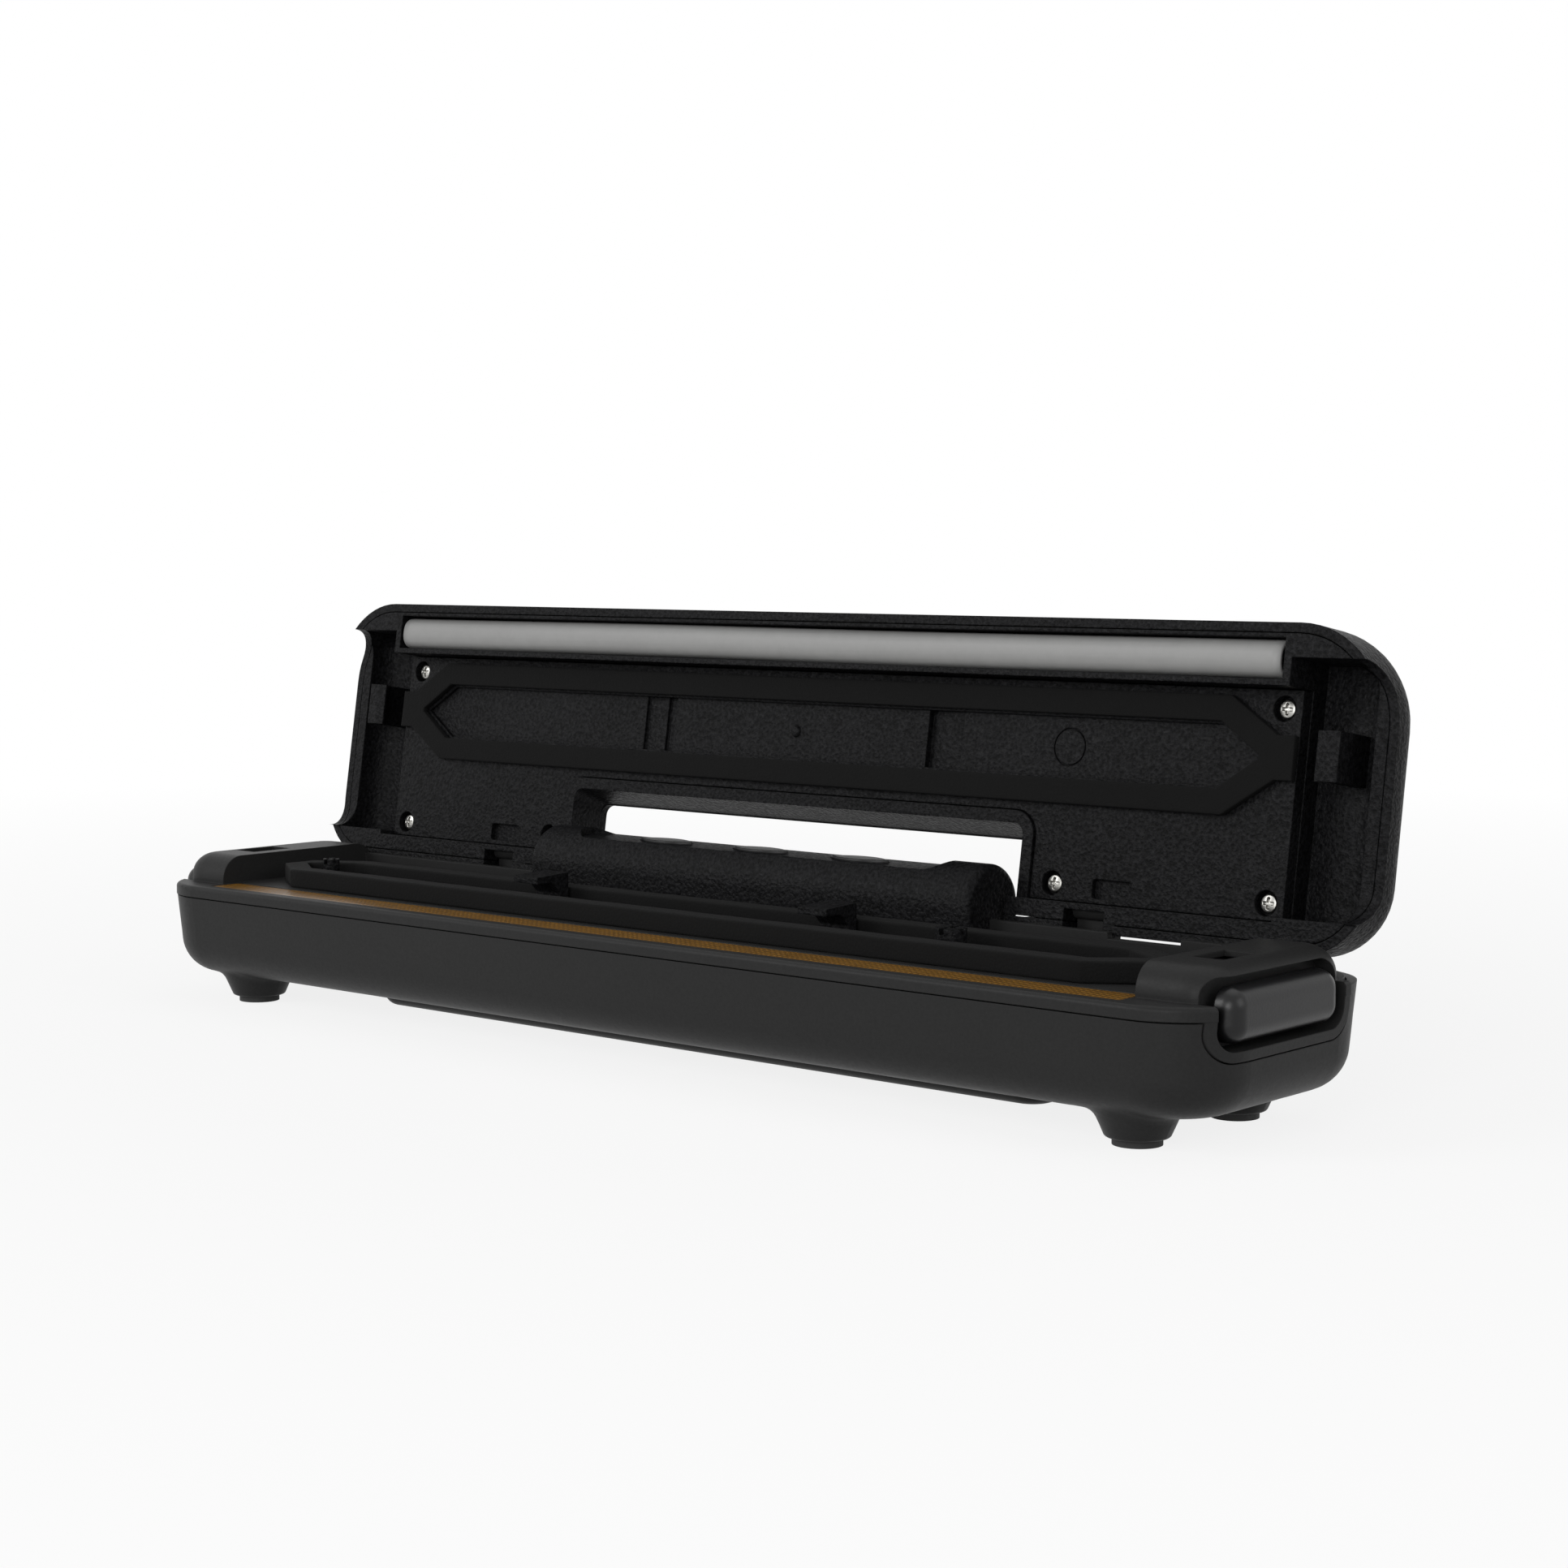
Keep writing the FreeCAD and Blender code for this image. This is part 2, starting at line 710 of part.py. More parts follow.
def add_end_blocks(body):
    """Blocks at both ends that carry the latches, with a well for the side button below them."""
    blocks = new_sketch(body, "XY", "size.rim_z")
    wells = new_sketch(body, "XY", "size.recess_z - size.wall")
    block_rear = "size.block_setback + size.block_depth"
    well_rear = "size.recess_setback + size.recess_depth + size.wall"
    for side in (-1, 1):
        inner = f"{side} * size.block_inner"
        rounds = (None, "size.block_corner", "size.block_corner", None)
        add_rounded_box(blocks, inner, f"{side} * size.block_outer", "size.block_setback", block_rear, rounds)
        rounds = (None, "size.well_corner", "size.well_corner", None)
        add_rounded_box(wells, inner, f"{side} * size.well_reach", "size.block_setback", well_rear, rounds)
    pad(body, blocks, "size.block_top - size.rim_z")
    at_top = is_level_at("size.block_top")
    inner_face = value("size.block_inner") + TOUCH
    round_edges(body, "size.block_round", lambda edge: at_top(edge) and abs(edge.CenterOfMass.x) > inner_face)
    pad(body, wells, "size.rim_low - size.recess_z + size.wall")


def add_recess_surrounds(body):
    """Rim round each side button's recess, flush with the drafted end of the lower casing."""
    low = "(size.recess_z - size.wall)"
    front = "(size.recess_setback - size.wall)"
    rear = "(size.recess_setback + size.recess_depth + size.wall)"
    margin = "size.cut_margin"
    start = "(size.half_length - size.corner_round - size.wall)"
    reach = "(size.half_length - (size.rear_lip_z - size.rim_low) * tan(size.side_draft))"
    outside = [("-" + margin, "size.rim_low"), ("-" + margin, f"{low} - {margin}"),
               (f"{rear} + 2 * size.wall", f"{low} - {margin}"), (f"{rear} + 2 * size.wall", "size.rim_low"),
               (rear, "size.rim_low"), (rear, low), (front, low), (front, "size.rim_low")]
    corner = "size.recess_round + size.wall"
    rounds = (None, None, None, None, None, corner, corner, None)
    for side in (-1, 1):
        outline = new_sketch(body, "XY", "size.rim_low")
        add_rounded_box(outline, f"{side} * {start}", f"{side} * {reach}", "0", f"{rear} + size.wall",
                        (None, "size.corner_round", None, None))
        pad(body, outline, f"size.rim_low - {low}", True, "-size.side_draft")
        spare = new_sketch(body, "YZ", f"{side} * {start}")
        add_rounded_polygon(spare, outside, rounds)
        pocket(body, spare, "size.corner_round + size.wall + size.cut_margin", side > 0)


def cut_latch_wells(body):
    """Hollow the end blocks for the latches and open them to the hooks and to the side buttons."""
    cavities = new_sketch(body, "XY", "size.recess_z - size.wall")
    slots = new_sketch(body, "XY", "size.block_top")
    slot_low = "size.slot_setback - size.slot_length / 2"
    slot_high = "size.slot_setback + size.slot_length / 2"
    for side in (-1, 1):
        add_box(cavities, f"{side} * (size.block_inner + size.block_skin)",
                f"{side} * (size.recess_floor - size.recess_wall)",
                slot_low + " - size.cavity_margin", slot_high + " + size.cavity_margin")
        add_box(slots, f"{side} * (size.slot_centre - size.slot_width / 2)",
                f"{side} * (size.slot_centre + size.slot_width / 2)", slot_low, slot_high)
    pocket(body, cavities, "size.block_top - size.block_wall - size.recess_z + size.wall", True)
    pocket(body, slots, "size.block_wall + size.cut_margin")
    rounds = ("size.recess_round",) * 4
    for side in (-1, 1):
        recess = new_sketch(body, "YZ", f"{side} * size.recess_floor")
        add_rounded_box(recess, "size.recess_setback", "size.recess_setback + size.recess_depth",
                        "size.recess_z", "size.recess_top", rounds)
        pocket(body, recess, "size.half_length - size.recess_floor + size.cut_margin", side > 0)
        window = new_sketch(body, "YZ", f"{side} * size.recess_floor")
        add_box(window, "size.slot_setback - size.stem_width / 2 - size.fit_gap",
                "size.slot_setback + size.stem_width / 2 + size.fit_gap",
                "size.stem_z - size.fit_gap", "size.stem_z + size.stem_height + size.fit_gap")
        pocket(body, window, "size.recess_wall + size.cut_margin", side < 0)


def add_ledge(body):
    """Low wall on the deck on both sides of the control housing, lower where the lid's switch is reached."""
    ledge = new_sketch(body, "XY", "size.rim_z")
    rear = "size.ledge_setback + size.ledge_thick"
    for side in (-1, 1):
        add_box(ledge, f"{side} * (size.hump_length / 2 + size.fit_gap)", f"{side} * size.block_inner",
                "size.ledge_setback", rear)
    pad(body, ledge, "size.ledge_top - size.rim_z")
    notch = new_sketch(body, "XY", "size.ledge_top")
    add_box(notch, "size.ledge_notch_x - size.ledge_notch_length / 2",
            "size.ledge_notch_x + size.ledge_notch_length / 2",
            "size.ledge_setback - size.cut_margin", rear + " + size.cut_margin")
    pocket(body, notch, "size.ledge_top - size.ledge_notch_top")


def add_hinge_posts(body):
    """Posts behind the hinge axis, each with a bored knuckle round the axis."""
    for side in (-1, 1):
        middle = f"{side} * size.hinge_centre - size.post_width / 2"
        post = new_sketch(body, "YZ", middle)
        add_box(post, "size.hinge_setback + size.post_front",
                "size.hinge_setback + size.post_front + size.post_thick",
                "size.rim_low", "size.hinge_z - size.knuckle_radius / 2")
        pad(body, post, "size.post_width")
        knuckle = new_sketch(body, "YZ", middle)
        add_circle(knuckle, "size.hinge_setback", "size.hinge_z", "size.knuckle_radius")
        pad(body, knuckle, "size.post_width")
        bore = new_sketch(body, "YZ", middle)
        add_circle(bore, "size.hinge_setback", "size.hinge_z", "size.pin_radius + size.run_gap")
        pocket(body, bore, "size.post_width", True)


def make_upper_casing():
    body = new_body("upper_casing", place_on_base)
    thick = "size.rim_z - size.rim_low"
    front = new_sketch(body, "XY", "size.rim_low")
    add_rounded_box(front, "-size.half_length", "size.half_length", "0", "size.rear_lip_start - size.fit_gap",
                    ("size.corner_round", "size.corner_round", None, None))
    pad(body, front, thick)
    at_rim = is_level_at("size.rim_z")
    slab_end = value("size.rear_lip_start - size.fit_gap") - TOUCH
    round_edges(body, "size.rim_round", lambda edge: at_rim(edge) and edge.CenterOfMass.y < slab_end)
    rear = new_sketch(body, "XY", "size.rim_low")
    rear_half = "(size.half_length - size.inset)"
    rear_round = "size.corner_round - size.inset"
    add_rounded_box(rear, "-" + rear_half, rear_half, "size.rear_lip_start - size.corner_round",
                    "size.base_depth - size.inset", (None, None, rear_round, rear_round))
    pad(body, rear, thick)
    tongue = new_sketch(body, "XY", "size.rim_low")
    add_box(tongue, "-size.block_inner", "size.block_inner", "size.wall + size.tongue_gap",
            "size.wall + size.tongue_gap + size.tongue_thick")
    pad(body, tongue, "size.tongue_height", True)
    add_end_blocks(body)
    add_recess_surrounds(body)
    cut_latch_wells(body)

    groove = new_sketch(body, "XY", "size.rim_z")
    half_groove = "(size.tape_length / 2 + size.fit_gap)"
    add_box(groove, "-" + half_groove, half_groove, "size.tape_setback - size.fit_gap",
            "size.tape_setback + size.tape_width + size.fit_gap")
    pocket(body, groove, "size.bed_thick + size.element_thick + size.tape_thick + 2 * size.seat_gap")
    ports = new_sketch(body, "XY", "size.rim_z")
    add_circle(ports, "size.port_x", "size.ring_setback", "size.hose_radius + size.fit_gap")
    add_circle(ports, "-size.sensor_x", "size.ring_setback", "size.sensor_bore + size.fit_gap")
    pocket(body, ports, "size.rim_z - size.rim_low + size.cut_margin")
    rib = new_sketch(body, "XY", "size.rim_z")
    add_box(rib, "-size.block_inner", "size.block_inner",
            "size.rib_setback", "size.rib_setback + size.rib_thick")
    pad(body, rib, "size.rib_top - size.rim_z")
    wires = new_sketch(body, "XY", "size.rim_z")
    half_wires = "(size.hump_length / 2 - size.hump_edge - 3 * size.wall)"
    add_box(wires, "-" + half_wires, half_wires, "size.hump_setback - size.hump_radius / 2",
            "size.hump_setback + size.hump_radius / 2")
    pocket(body, wires, "size.rim_z - size.rim_low + size.cut_margin")

    add_ledge(body)
    add_hinge_posts(body)


def make_side_button(name, side):
    body = new_body(name, place_on_base)
    front = "size.recess_setback + size.button_margin"
    rear = "size.recess_setback + size.recess_depth - size.button_margin"
    face = new_sketch(body, "YZ", f"{side} * size.button_back")
    add_box(face, front, rear, "size.button_z", "size.button_z + size.button_height")
    pad(body, face, "size.button_thick", side < 0)
    upright = [(front, "size.button_z"), (rear, "size.button_z")]
    upright += [(along, "size.button_z + size.button_height") for along in (front, rear)]
    tests = [runs_along_x(along, height) for along, height in upright]
    round_edges(body, "size.button_round", lambda edge: any(test(edge) for test in tests))
    outside = value("size.button_back + size.button_thick")
    round_edges(body, "size.button_round - size.fit_gap",
                lambda edge: abs(abs(edge.CenterOfMass.x) - outside) < TOUCH)
    stem = new_sketch(body, "YZ", f"{side} * size.button_back")
    add_box(stem, "size.slot_setback - size.stem_width / 2", "size.slot_setback + size.stem_width / 2",
            "size.stem_z", "size.stem_z + size.stem_height")
    pad(body, stem, "size.button_back - size.hook_back - size.catch_stem", side > 0)


def make_latch_slider(name, side):
    """Catch in the shape of a C, open towards the hook."""
    body = new_body(name, place_on_base)
    profile = new_sketch(body, "XZ", "-(size.slot_setback + size.stem_width / 2)")
    stem_low = "size.stem_z"
    stem_high = "size.stem_z + size.stem_height"
    catch_top = "size.catch_z + size.catch_height"
    inner = "size.barb_tip - size.fit_gap - size.catch_stem"
    upright = "size.barb_tip - size.fit_gap"
    nose = "size.barb_tip + size.catch_overlap"
    outer = "size.hook_back + size.catch_stem - size.seat_gap"
    corners = [(inner, stem_low), (outer, stem_low), (outer, stem_high), (upright, stem_high),
               (upright, "size.catch_z"), (nose, "size.catch_z"), (nose, catch_top), (inner, catch_top)]
    add_polygon(profile, [(f"{side} * ({across})", up) for across, up in corners])
    pad(body, profile, "size.stem_width")


def make_sealing_bar():
    middle = "size.tape_setback + size.tape_width / 2"
    half_tape = "size.tape_length / 2"
    top = "size.rim_z - size.seat_gap"
    tape_low = "size.rim_z - size.seat_gap - size.tape_thick"
    element_low = tape_low + " - size.seat_gap / 2 - size.element_thick"
    bed_low = element_low + " - size.seat_gap / 4 - size.bed_thick"
    solid_box("seal_tape", place_on_base,
              (f"-({half_tape})", "size.tape_setback", tape_low),
              (half_tape, "size.tape_setback + size.tape_width", top))
    half_strip = "size.strip_length / 2"
    solid_box("heating_element", place_on_base,
              (f"-({half_strip})", f"{middle} - size.element_width / 2", element_low),
              (half_strip, f"{middle} + size.element_width / 2", element_low + " + size.element_thick"))
    solid_box("element_bed", place_on_base,
              (f"-({half_tape})", "size.tape_setback", bed_low),
              (half_tape, "size.tape_setback + size.tape_width", bed_low + " + size.bed_thick"))


def add_ring(sketch, middle, tail):
    """Outer and inner outline of a pointed gasket; tail is how far its ends reach."""
    half = "size.ring_width / 2"
    inner = "(size.ring_width / 2 - size.ring_band)"
    straight = "size.ring_straight / 2"
    blunt = "size.ring_length / 2"
    end = "size.ring_tail / 2"
    right = [(straight, f"-({half})"), (blunt, f"-({end})")]
    if tail:
        right += [(tail, f"-({end})"), (tail, end)]
    right += [(blunt, end), (straight, half)]
    left = [(f"-({across})", f"-({up})") for across, up in right]
    add_polygon(sketch, [(across, f"{middle} + ({up})") for across, up in right + left])
    point = "size.ring_tip / 2"
    flank = "size.ring_tip_straight / 2"
    hole = [(flank, f"-{inner}"), (point, "0"), (flank, inner)]
    hole += [(f"-({across})", f"-({up})") for across, up in hole]
    add_polygon(sketch, [(across, f"{middle} + ({up})") for across, up in hole])


def make_lower_gasket():
    body = new_body("lower_gasket", place_on_base)
    ring = new_sketch(body, "XY", "size.tray_z")
    add_ring(ring, "size.ring_setback", None)
    pad(body, ring, "size.lower_foam")


def make_channel_tray():
    """Pointed floor inside the gasket with two angled bag stops."""
    body = new_body("channel_tray", place_on_base)
    floor = new_sketch(body, "XY", "size.tray_z")
    inner = "(size.ring_width / 2 - size.ring_band - size.fit_gap)"
    point = "(size.ring_tip / 2 - 2 * size.fit_gap)"
    flank = "(size.ring_tip_straight / 2 - size.fit_gap)"
    right = [(flank, f"-{inner}"), (point, "0"), (flank, inner)]
    left = [(f"-{across}", f"-({up})") for across, up in right]
    add_polygon(floor, [(across, f"size.ring_setback + ({up})") for across, up in right + left])
    pad(body, floor, "size.tray_thick")
    rear = f"size.ring_setback + {inner} - size.stop_gap"
    nose = f"{rear} - size.stop_reach"
    under = "size.stop_top - size.stop_thick"
    for side in (-1, 1):
        stop = new_sketch(body, "YZ", f"{side} * size.stop_centre - size.stop_length / 2")
        add_polygon(stop, [(f"{rear} - size.stop_stem", "size.tray_z"), (rear, "size.tray_z"),
                           (rear, "size.stop_top"), (nose, "size.stop_top - size.stop_thick / 4"),
                           (nose, under), (f"{rear} - 2 * size.stop_stem", under),
                           (f"{rear} - size.stop_stem", f"{under} - size.stop_stem")])
        pad(body, stop, "size.stop_length")
    ports = new_sketch(body, "XY", "size.tray_z + size.tray_thick")
    add_circle(ports, "size.port_x", "size.ring_setback", "size.port_radius + size.fit_gap")
    add_circle(ports, "-size.sensor_x", "size.ring_setback", "size.sensor_radius + size.fit_gap")
    pocket(body, ports, "size.tray_thick")


def make_port(name, across, radius, bore, spigot, drop):
    """Castellated nozzle that stands on the deck, with a spigot below it."""
    body = new_body(name, place_on_base)
    nozzle = new_sketch(body, "XY", "size.tray_z")
    add_circle(nozzle, across, "size.ring_setback", radius)
    pad(body, nozzle, "size.port_top - size.tray_z")
    tail = new_sketch(body, "XY", "size.tray_z")
    add_circle(tail, across, "size.ring_setback", spigot)
    pad(body, tail, drop, True)
    hole = new_sketch(body, "XY", "size.port_top")
    add_circle(hole, across, "size.ring_setback", bore)
    pocket(body, hole, f"size.port_top - size.tray_z + {drop}")
    reach = f"({radius} + size.cut_margin)"
    half = "size.notch_width / 2"
    for wide, deep in ((reach, half), (half, reach)):
        cut = new_sketch(body, "XY", "size.port_top")
        add_box(cut, f"{across} - {wide}", f"{across} + {wide}",
                f"size.ring_setback - {deep}", f"size.ring_setback + {deep}")
        pocket(body, cut, "size.notch_depth")


def make_control_housing():
    body = new_body("control_housing", place_on_base)
    low = "size.rim_z + size.seat_gap"
    drum = new_sketch(body, "YZ", "-size.hump_length / 2")
    add_circle(drum, "size.hump_setback", "size.hump_axis_z", "size.hump_radius")
    pad(body, drum, "size.hump_length")
    skirt = new_sketch(body, "YZ", "-size.hump_length / 2")
    front = "size.hump_setback - size.hump_radius"
    rear = "size.hump_setback + size.hump_radius"
    add_box(skirt, front, rear, low, "size.hump_axis_z")
    pad(body, skirt, "size.hump_length")
    below = new_sketch(body, "XY", low)
    add_box(below, "-size.hump_length", "size.hump_length", front, rear)
    pocket(body, below, "size.hump_radius")
    ends = value("size.hump_length / 2")
    bottom = value(low) + TOUCH
    round_edges(body, "size.hump_edge", lambda edge: abs(abs(edge.CenterOfMass.x) - ends) < TOUCH
                and edge.BoundBox.XLength < TOUCH and edge.CenterOfMass.z > bottom)
    inside = new_sketch(body, "YZ", "-size.hump_length / 2 + size.hump_edge + size.wall / 2")
    reach = "(size.hump_radius - size.wall)"
    ceiling = "size.panel_z - size.panel_thick"
    shoulder = "size.hump_axis_z + size.hump_shoulder"
    shoulder_half = f"sqrt({reach}^2 - size.hump_shoulder^2)"
    corner = f"sqrt({reach}^2 - ({ceiling} - size.hump_axis_z)^2)"
    add_polygon(inside, [(f"size.hump_setback - {reach}", low), (f"size.hump_setback + {reach}", low),
                         (f"size.hump_setback + {shoulder_half}", shoulder),
                         (f"size.hump_setback + {corner}", ceiling),
                         (f"size.hump_setback - {corner}", ceiling),
                         (f"size.hump_setback - {shoulder_half}", shoulder)])
    pocket(body, inside, "size.hump_length - 2 * size.hump_edge - size.wall", True)
    panel = new_sketch(body, "XY", "size.hump_top")
    straight = "(size.panel_length / 2 - size.panel_width / 2)"
    add_box(panel, "-" + straight, straight, "size.hump_setback - size.panel_width / 2",
            "size.hump_setback + size.panel_width / 2")
    pocket(body, panel, "size.hump_top - size.panel_z")
    for side in (-1, 1):
        scoop = new_sketch(body, "XY", "size.hump_top")
        add_circle(scoop, f"{side} * {straight}", "size.hump_setback", "size.panel_width / 2")
        pocket(body, scoop, "size.hump_top - size.panel_z")
    keys = new_sketch(body, "XY", "size.panel_z")
    for place in (-1, 0, 1):
        add_lens(keys, f"{place} * size.key_pitch", "size.hump_setback",
                 "size.key_length + 4 * size.key_gap", "size.key_width + 2 * size.key_gap")
    pocket(body, keys, "size.panel_thick + size.cut_margin")


def make_key(name, place):
    body = new_body(name, place_on_base)
    across = f"{place} * size.key_pitch"
    low = "size.panel_z - size.panel_thick - size.key_gap"
    cap = new_sketch(body, "XY", low)
    add_lens(cap, across, "size.hump_setback", "size.key_length", "size.key_width")
    pad(body, cap, f"size.panel_z + size.key_proud - ({low})")
    top = is_level_at("size.panel_z + size.key_proud")
    round_edges(body, "size.key_proud / 2", top)
    flange = new_sketch(body, "XY", low)
    half_length = "(size.key_length / 2 + size.key_flange_reach)"
    half_width = "(size.key_width / 2 + size.key_flange_rim)"
    add_box(flange, f"{across} - {half_length}", f"{across} + {half_length}",
            f"size.hump_setback - {half_width}", f"size.hump_setback + {half_width}")
    pad(body, flange, "size.key_flange", True)


def make_inner_parts():
    """Bought-in parts: boards, transformer and switch."""
    half_board = "(size.hump_length / 2 - size.hump_edge - size.wall - size.board_margin)"
    board_reach = "(size.hump_radius - size.wall - size.board_margin)"
    solid_box("control_board", place_on_base,
              (f"-{half_board}", f"size.hump_setback - {board_reach}", "size.board_z"),
              (half_board, f"size.hump_setback + {board_reach}", "size.board_z + size.board_thick"))
    solid_box("transformer", place_on_base,
              ("size.transformer_x - size.transformer_length", "size.cover_setback", "size.inner_floor"),
              ("size.transformer_x", "size.cover_setback + size.transformer_depth",
               "size.inner_floor + size.transformer_height"))
    ceiling = "size.rim_low - size.seat_gap"
    solid_box("power_board", place_on_base,
              ("size.power_board_x", "size.ring_setback", ceiling + " - size.board_thick"),
              ("size.power_board_x + size.power_board_length",
               "size.ring_setback + size.power_board_depth", ceiling))
    solid_box("lid_switch", place_on_base,
              ("size.switch_x", "size.ring_setback - size.switch_depth / 2",
               ceiling + " - size.switch_height"),
              ("size.switch_x + size.switch_length", "size.ring_setback + size.switch_depth / 2", ceiling))


def make_pump():
    head = new_body("pump_head", place_on_base)
    case = new_sketch(head, "XY", "size.pump_z")
    add_box(case, "size.pump_x", "size.pump_x + size.pump_length",
            "size.pump_y", "size.pump_y + size.pump_depth")
    pad(head, case, "size.pump_height")
    spigot = new_sketch(head, "YZ", "size.pump_x + size.pump_length")
    add_circle(spigot, "size.ring_setback", "size.hose_low", "size.spigot_radius")
    pad(head, spigot, "size.spigot_length")
    motor = new_body("pump_motor", place_on_base)
    can = new_sketch(motor, "YZ", "size.pump_x - size.seat_gap")
    add_circle(can, "size.ring_setback", "size.hose_low", "size.motor_radius")
    pad(motor, can, "size.motor_length", True)


def add_tube(sketch, across, up):
    add_circle(sketch, across, up, "size.hose_radius")
    add_circle(sketch, across, up, "size.hose_bore")


def make_hose():
    """Hose that drops from the nozzle's spigot and bends over to the pump's spigot."""
    body = new_body("vacuum_hose", place_on_base)
    bend_top = "size.hose_low + size.hose_bend"
    bend_x = "(size.port_x - size.hose_bend)"
    drop = new_sketch(body, "XY", bend_top)
    add_tube(drop, "size.port_x", "size.ring_setback")
    pad(body, drop, f"size.rim_low - size.fit_gap - ({bend_top})")
    curve = new_sketch(body, "XY", bend_top)
    add_tube(curve, "size.port_x", "size.ring_setback")
    start = Vector(value(bend_x), 0, 0)
    axis = curve.addGeometry(Part.LineSegment(start, start + Vector(0, value("size.ring_setback"), 0)), True)
    pin_point(curve, axis, 1, bend_x, "0")
    pin_point(curve, axis, 2, bend_x, "size.ring_setback")
    turn = body.newObject("PartDesign::Revolution", "Revolution")
    turn.Profile = curve
    turn.ReferenceAxis = (curve, ["Axis0"])
    turn.Angle = 90
    doc.recompute()
    run = new_sketch(body, "YZ", bend_x)
    add_tube(run, "size.ring_setback", "size.hose_low")
    pad(body, run, f"{bend_x} - size.pump_x - size.pump_length - size.seat_gap", True)


def make_cord_gland():
    body = new_body("cord_gland", place_on_base)
    neck = new_sketch(body, "XZ", "-size.base_depth")
    add_circle(neck, "size.gland_x", "size.gland_z", "size.gland_neck")
    pad(body, neck, "size.gland_length")
    flange = new_sketch(body, "XZ", "-size.base_depth")
    add_circle(flange, "size.gland_x", "size.gland_z", "size.gland_flange")
    pad(body, flange, "size.gland_flange_thick", True)
    bore = new_sketch(body, "XZ", "-size.base_depth - size.gland_flange_thick")
    add_circle(bore, "size.gland_x", "size.gland_z", "size.gland_bore")
    pocket(body, bore, "size.gland_length + size.gland_flange_thick", True)


def add_window(sketch, front):
    """Outline of the notch that clears the control housing, open to the rear."""
    corner = "size.window_corner"
    add_rounded_box(sketch, "-size.window_length / 2", "size.window_length / 2", f"-({front})",
                    "size.lid_rear + size.cut_margin", (corner, corner, None, None))


def cut_window(body, front, low, high):
    notch = new_sketch(body, "XY", low)
    add_window(notch, front)
    pocket(body, notch, f"({high}) - ({low})", True)


def cut_leaning_window(body, low, high):
    """Notch whose front wall leans towards the rear from its lower to its upper level."""
    opening = new_sketch(body, "XY", low)
    add_window(opening, "size.window_front")
    far = new_sketch(body, "XY", high)
    add_window(far, "size.window_front - size.window_lean")
    cut = body.newObject("PartDesign::SubtractiveLoft", "Loft")
    cut.Profile = opening
    cut.Sections = [far]
    cut.Ruled = True
    doc.recompute()
    if not cut.isValid():
        raise ValueError(body.Name + ": the leaning window was not cut")


def cut_hinge_slots(body):
    """Cut room for the hinge posts on their way round the axis."""
    wide = "(size.post_width / 2 + size.post_gap)"
    swing = "size.lid_rear * sin(size.lid_opening - 90)"
    for side in (-1, 1):
        path = new_sketch(body, "YZ", f"{side} * size.hinge_centre - {wide}")
        add_box(path, "size.post_front - size.post_gap", "size.lid_rear + size.cut_margin",
                "-size.lid_rim - size.cut_margin",
                f"size.post_front + size.post_thick + size.post_gap + {swing}")
        pocket(body, path, "2 * " + wide, True)


def cut_knuckle_rooms(body):
    """Cut room for the knuckles of the hinge posts."""
    wide = "(size.post_width / 2 + size.post_gap)"
    for side in (-1, 1):
        room = new_sketch(body, "YZ", f"{side} * size.hinge_centre - {wide}")
        add_circle(room, "0", "0", "size.knuckle_radius + size.post_gap")
        pocket(body, room, "2 * " + wide, True)


def trim_rear_rim(body):
    """Shorten the rear wall so that it clears the deck while the lid swings."""
    rear = new_sketch(body, "XY", "-size.lid_rim - size.cut_margin")
    add_box(rear, "-size.half_length - size.cut_margin", "size.half_length + size.cut_margin",
            "-size.well_rear", "size.lid_rear + size.cut_margin")
    pocket(body, rear, "size.lid_rim + size.cut_margin - size.rear_rim", True)


def cut_arches(body, start):
    """Cut the end walls back where they pass over the end blocks of the base."""
    for side in (-1, 1):
        arch = new_sketch(body, "YZ", f"{side} * ({start})")
        add_rounded_box(arch, "-size.well_front", "-size.well_rear", "-size.lid_rim - size.cut_margin",
                        "size.arch_rise", (None, None, "size.arch_round", "size.arch_round"))
        pocket(body, arch, f"size.half_length - ({start}) + size.cut_margin", side > 0)


def make_lid_outer_cover():
    body = new_body("lid_outer_cover", place_on_lid)
    tall = "size.lid_rim + size.lid_top"
    outline = new_sketch(body, "XY", "-size.lid_rim")
    add_box(outline, "-size.half_length", "size.half_length", "-size.hinge_setback", "size.lid_rear")
    pad(body, outline, tall)
    inside = new_sketch(body, "XY", "-size.lid_rim")
    add_box(inside, "-size.half_length + size.wall", "size.half_length - size.wall",
            "-size.hinge_setback + size.wall", "size.lid_rear - size.wall")
    pocket(body, inside, tall + " - size.wall", True)
    inner = "size.half_length - size.wall"
    round_edges(body, "size.lid_front_corner - size.wall",
                stands_at(inner, "-size.hinge_setback + size.wall"))
    round_edges(body, "size.lid_rear_corner - size.wall", stands_at(inner, "size.lid_rear - size.wall"))
    round_edges(body, "size.lid_edge_round - size.wall", is_level_at("size.lid_top - size.wall"))
    round_edges(body, "size.lid_front_corner", stands_at("size.half_length", "-size.hinge_setback"))
    round_edges(body, "size.lid_rear_corner", stands_at("size.half_length", "size.lid_rear"))
    round_edges(body, "size.lid_edge_round", is_level_at("size.lid_top"))
    cut_window(body, "size.window_front - size.window_lean", "-size.lid_rim - size.cut_margin",
               "size.lid_top + size.cut_margin")
    cut_hinge_slots(body)
    cut_arches(body, inner + " - size.lid_edge_round")
    trim_rear_rim(body)


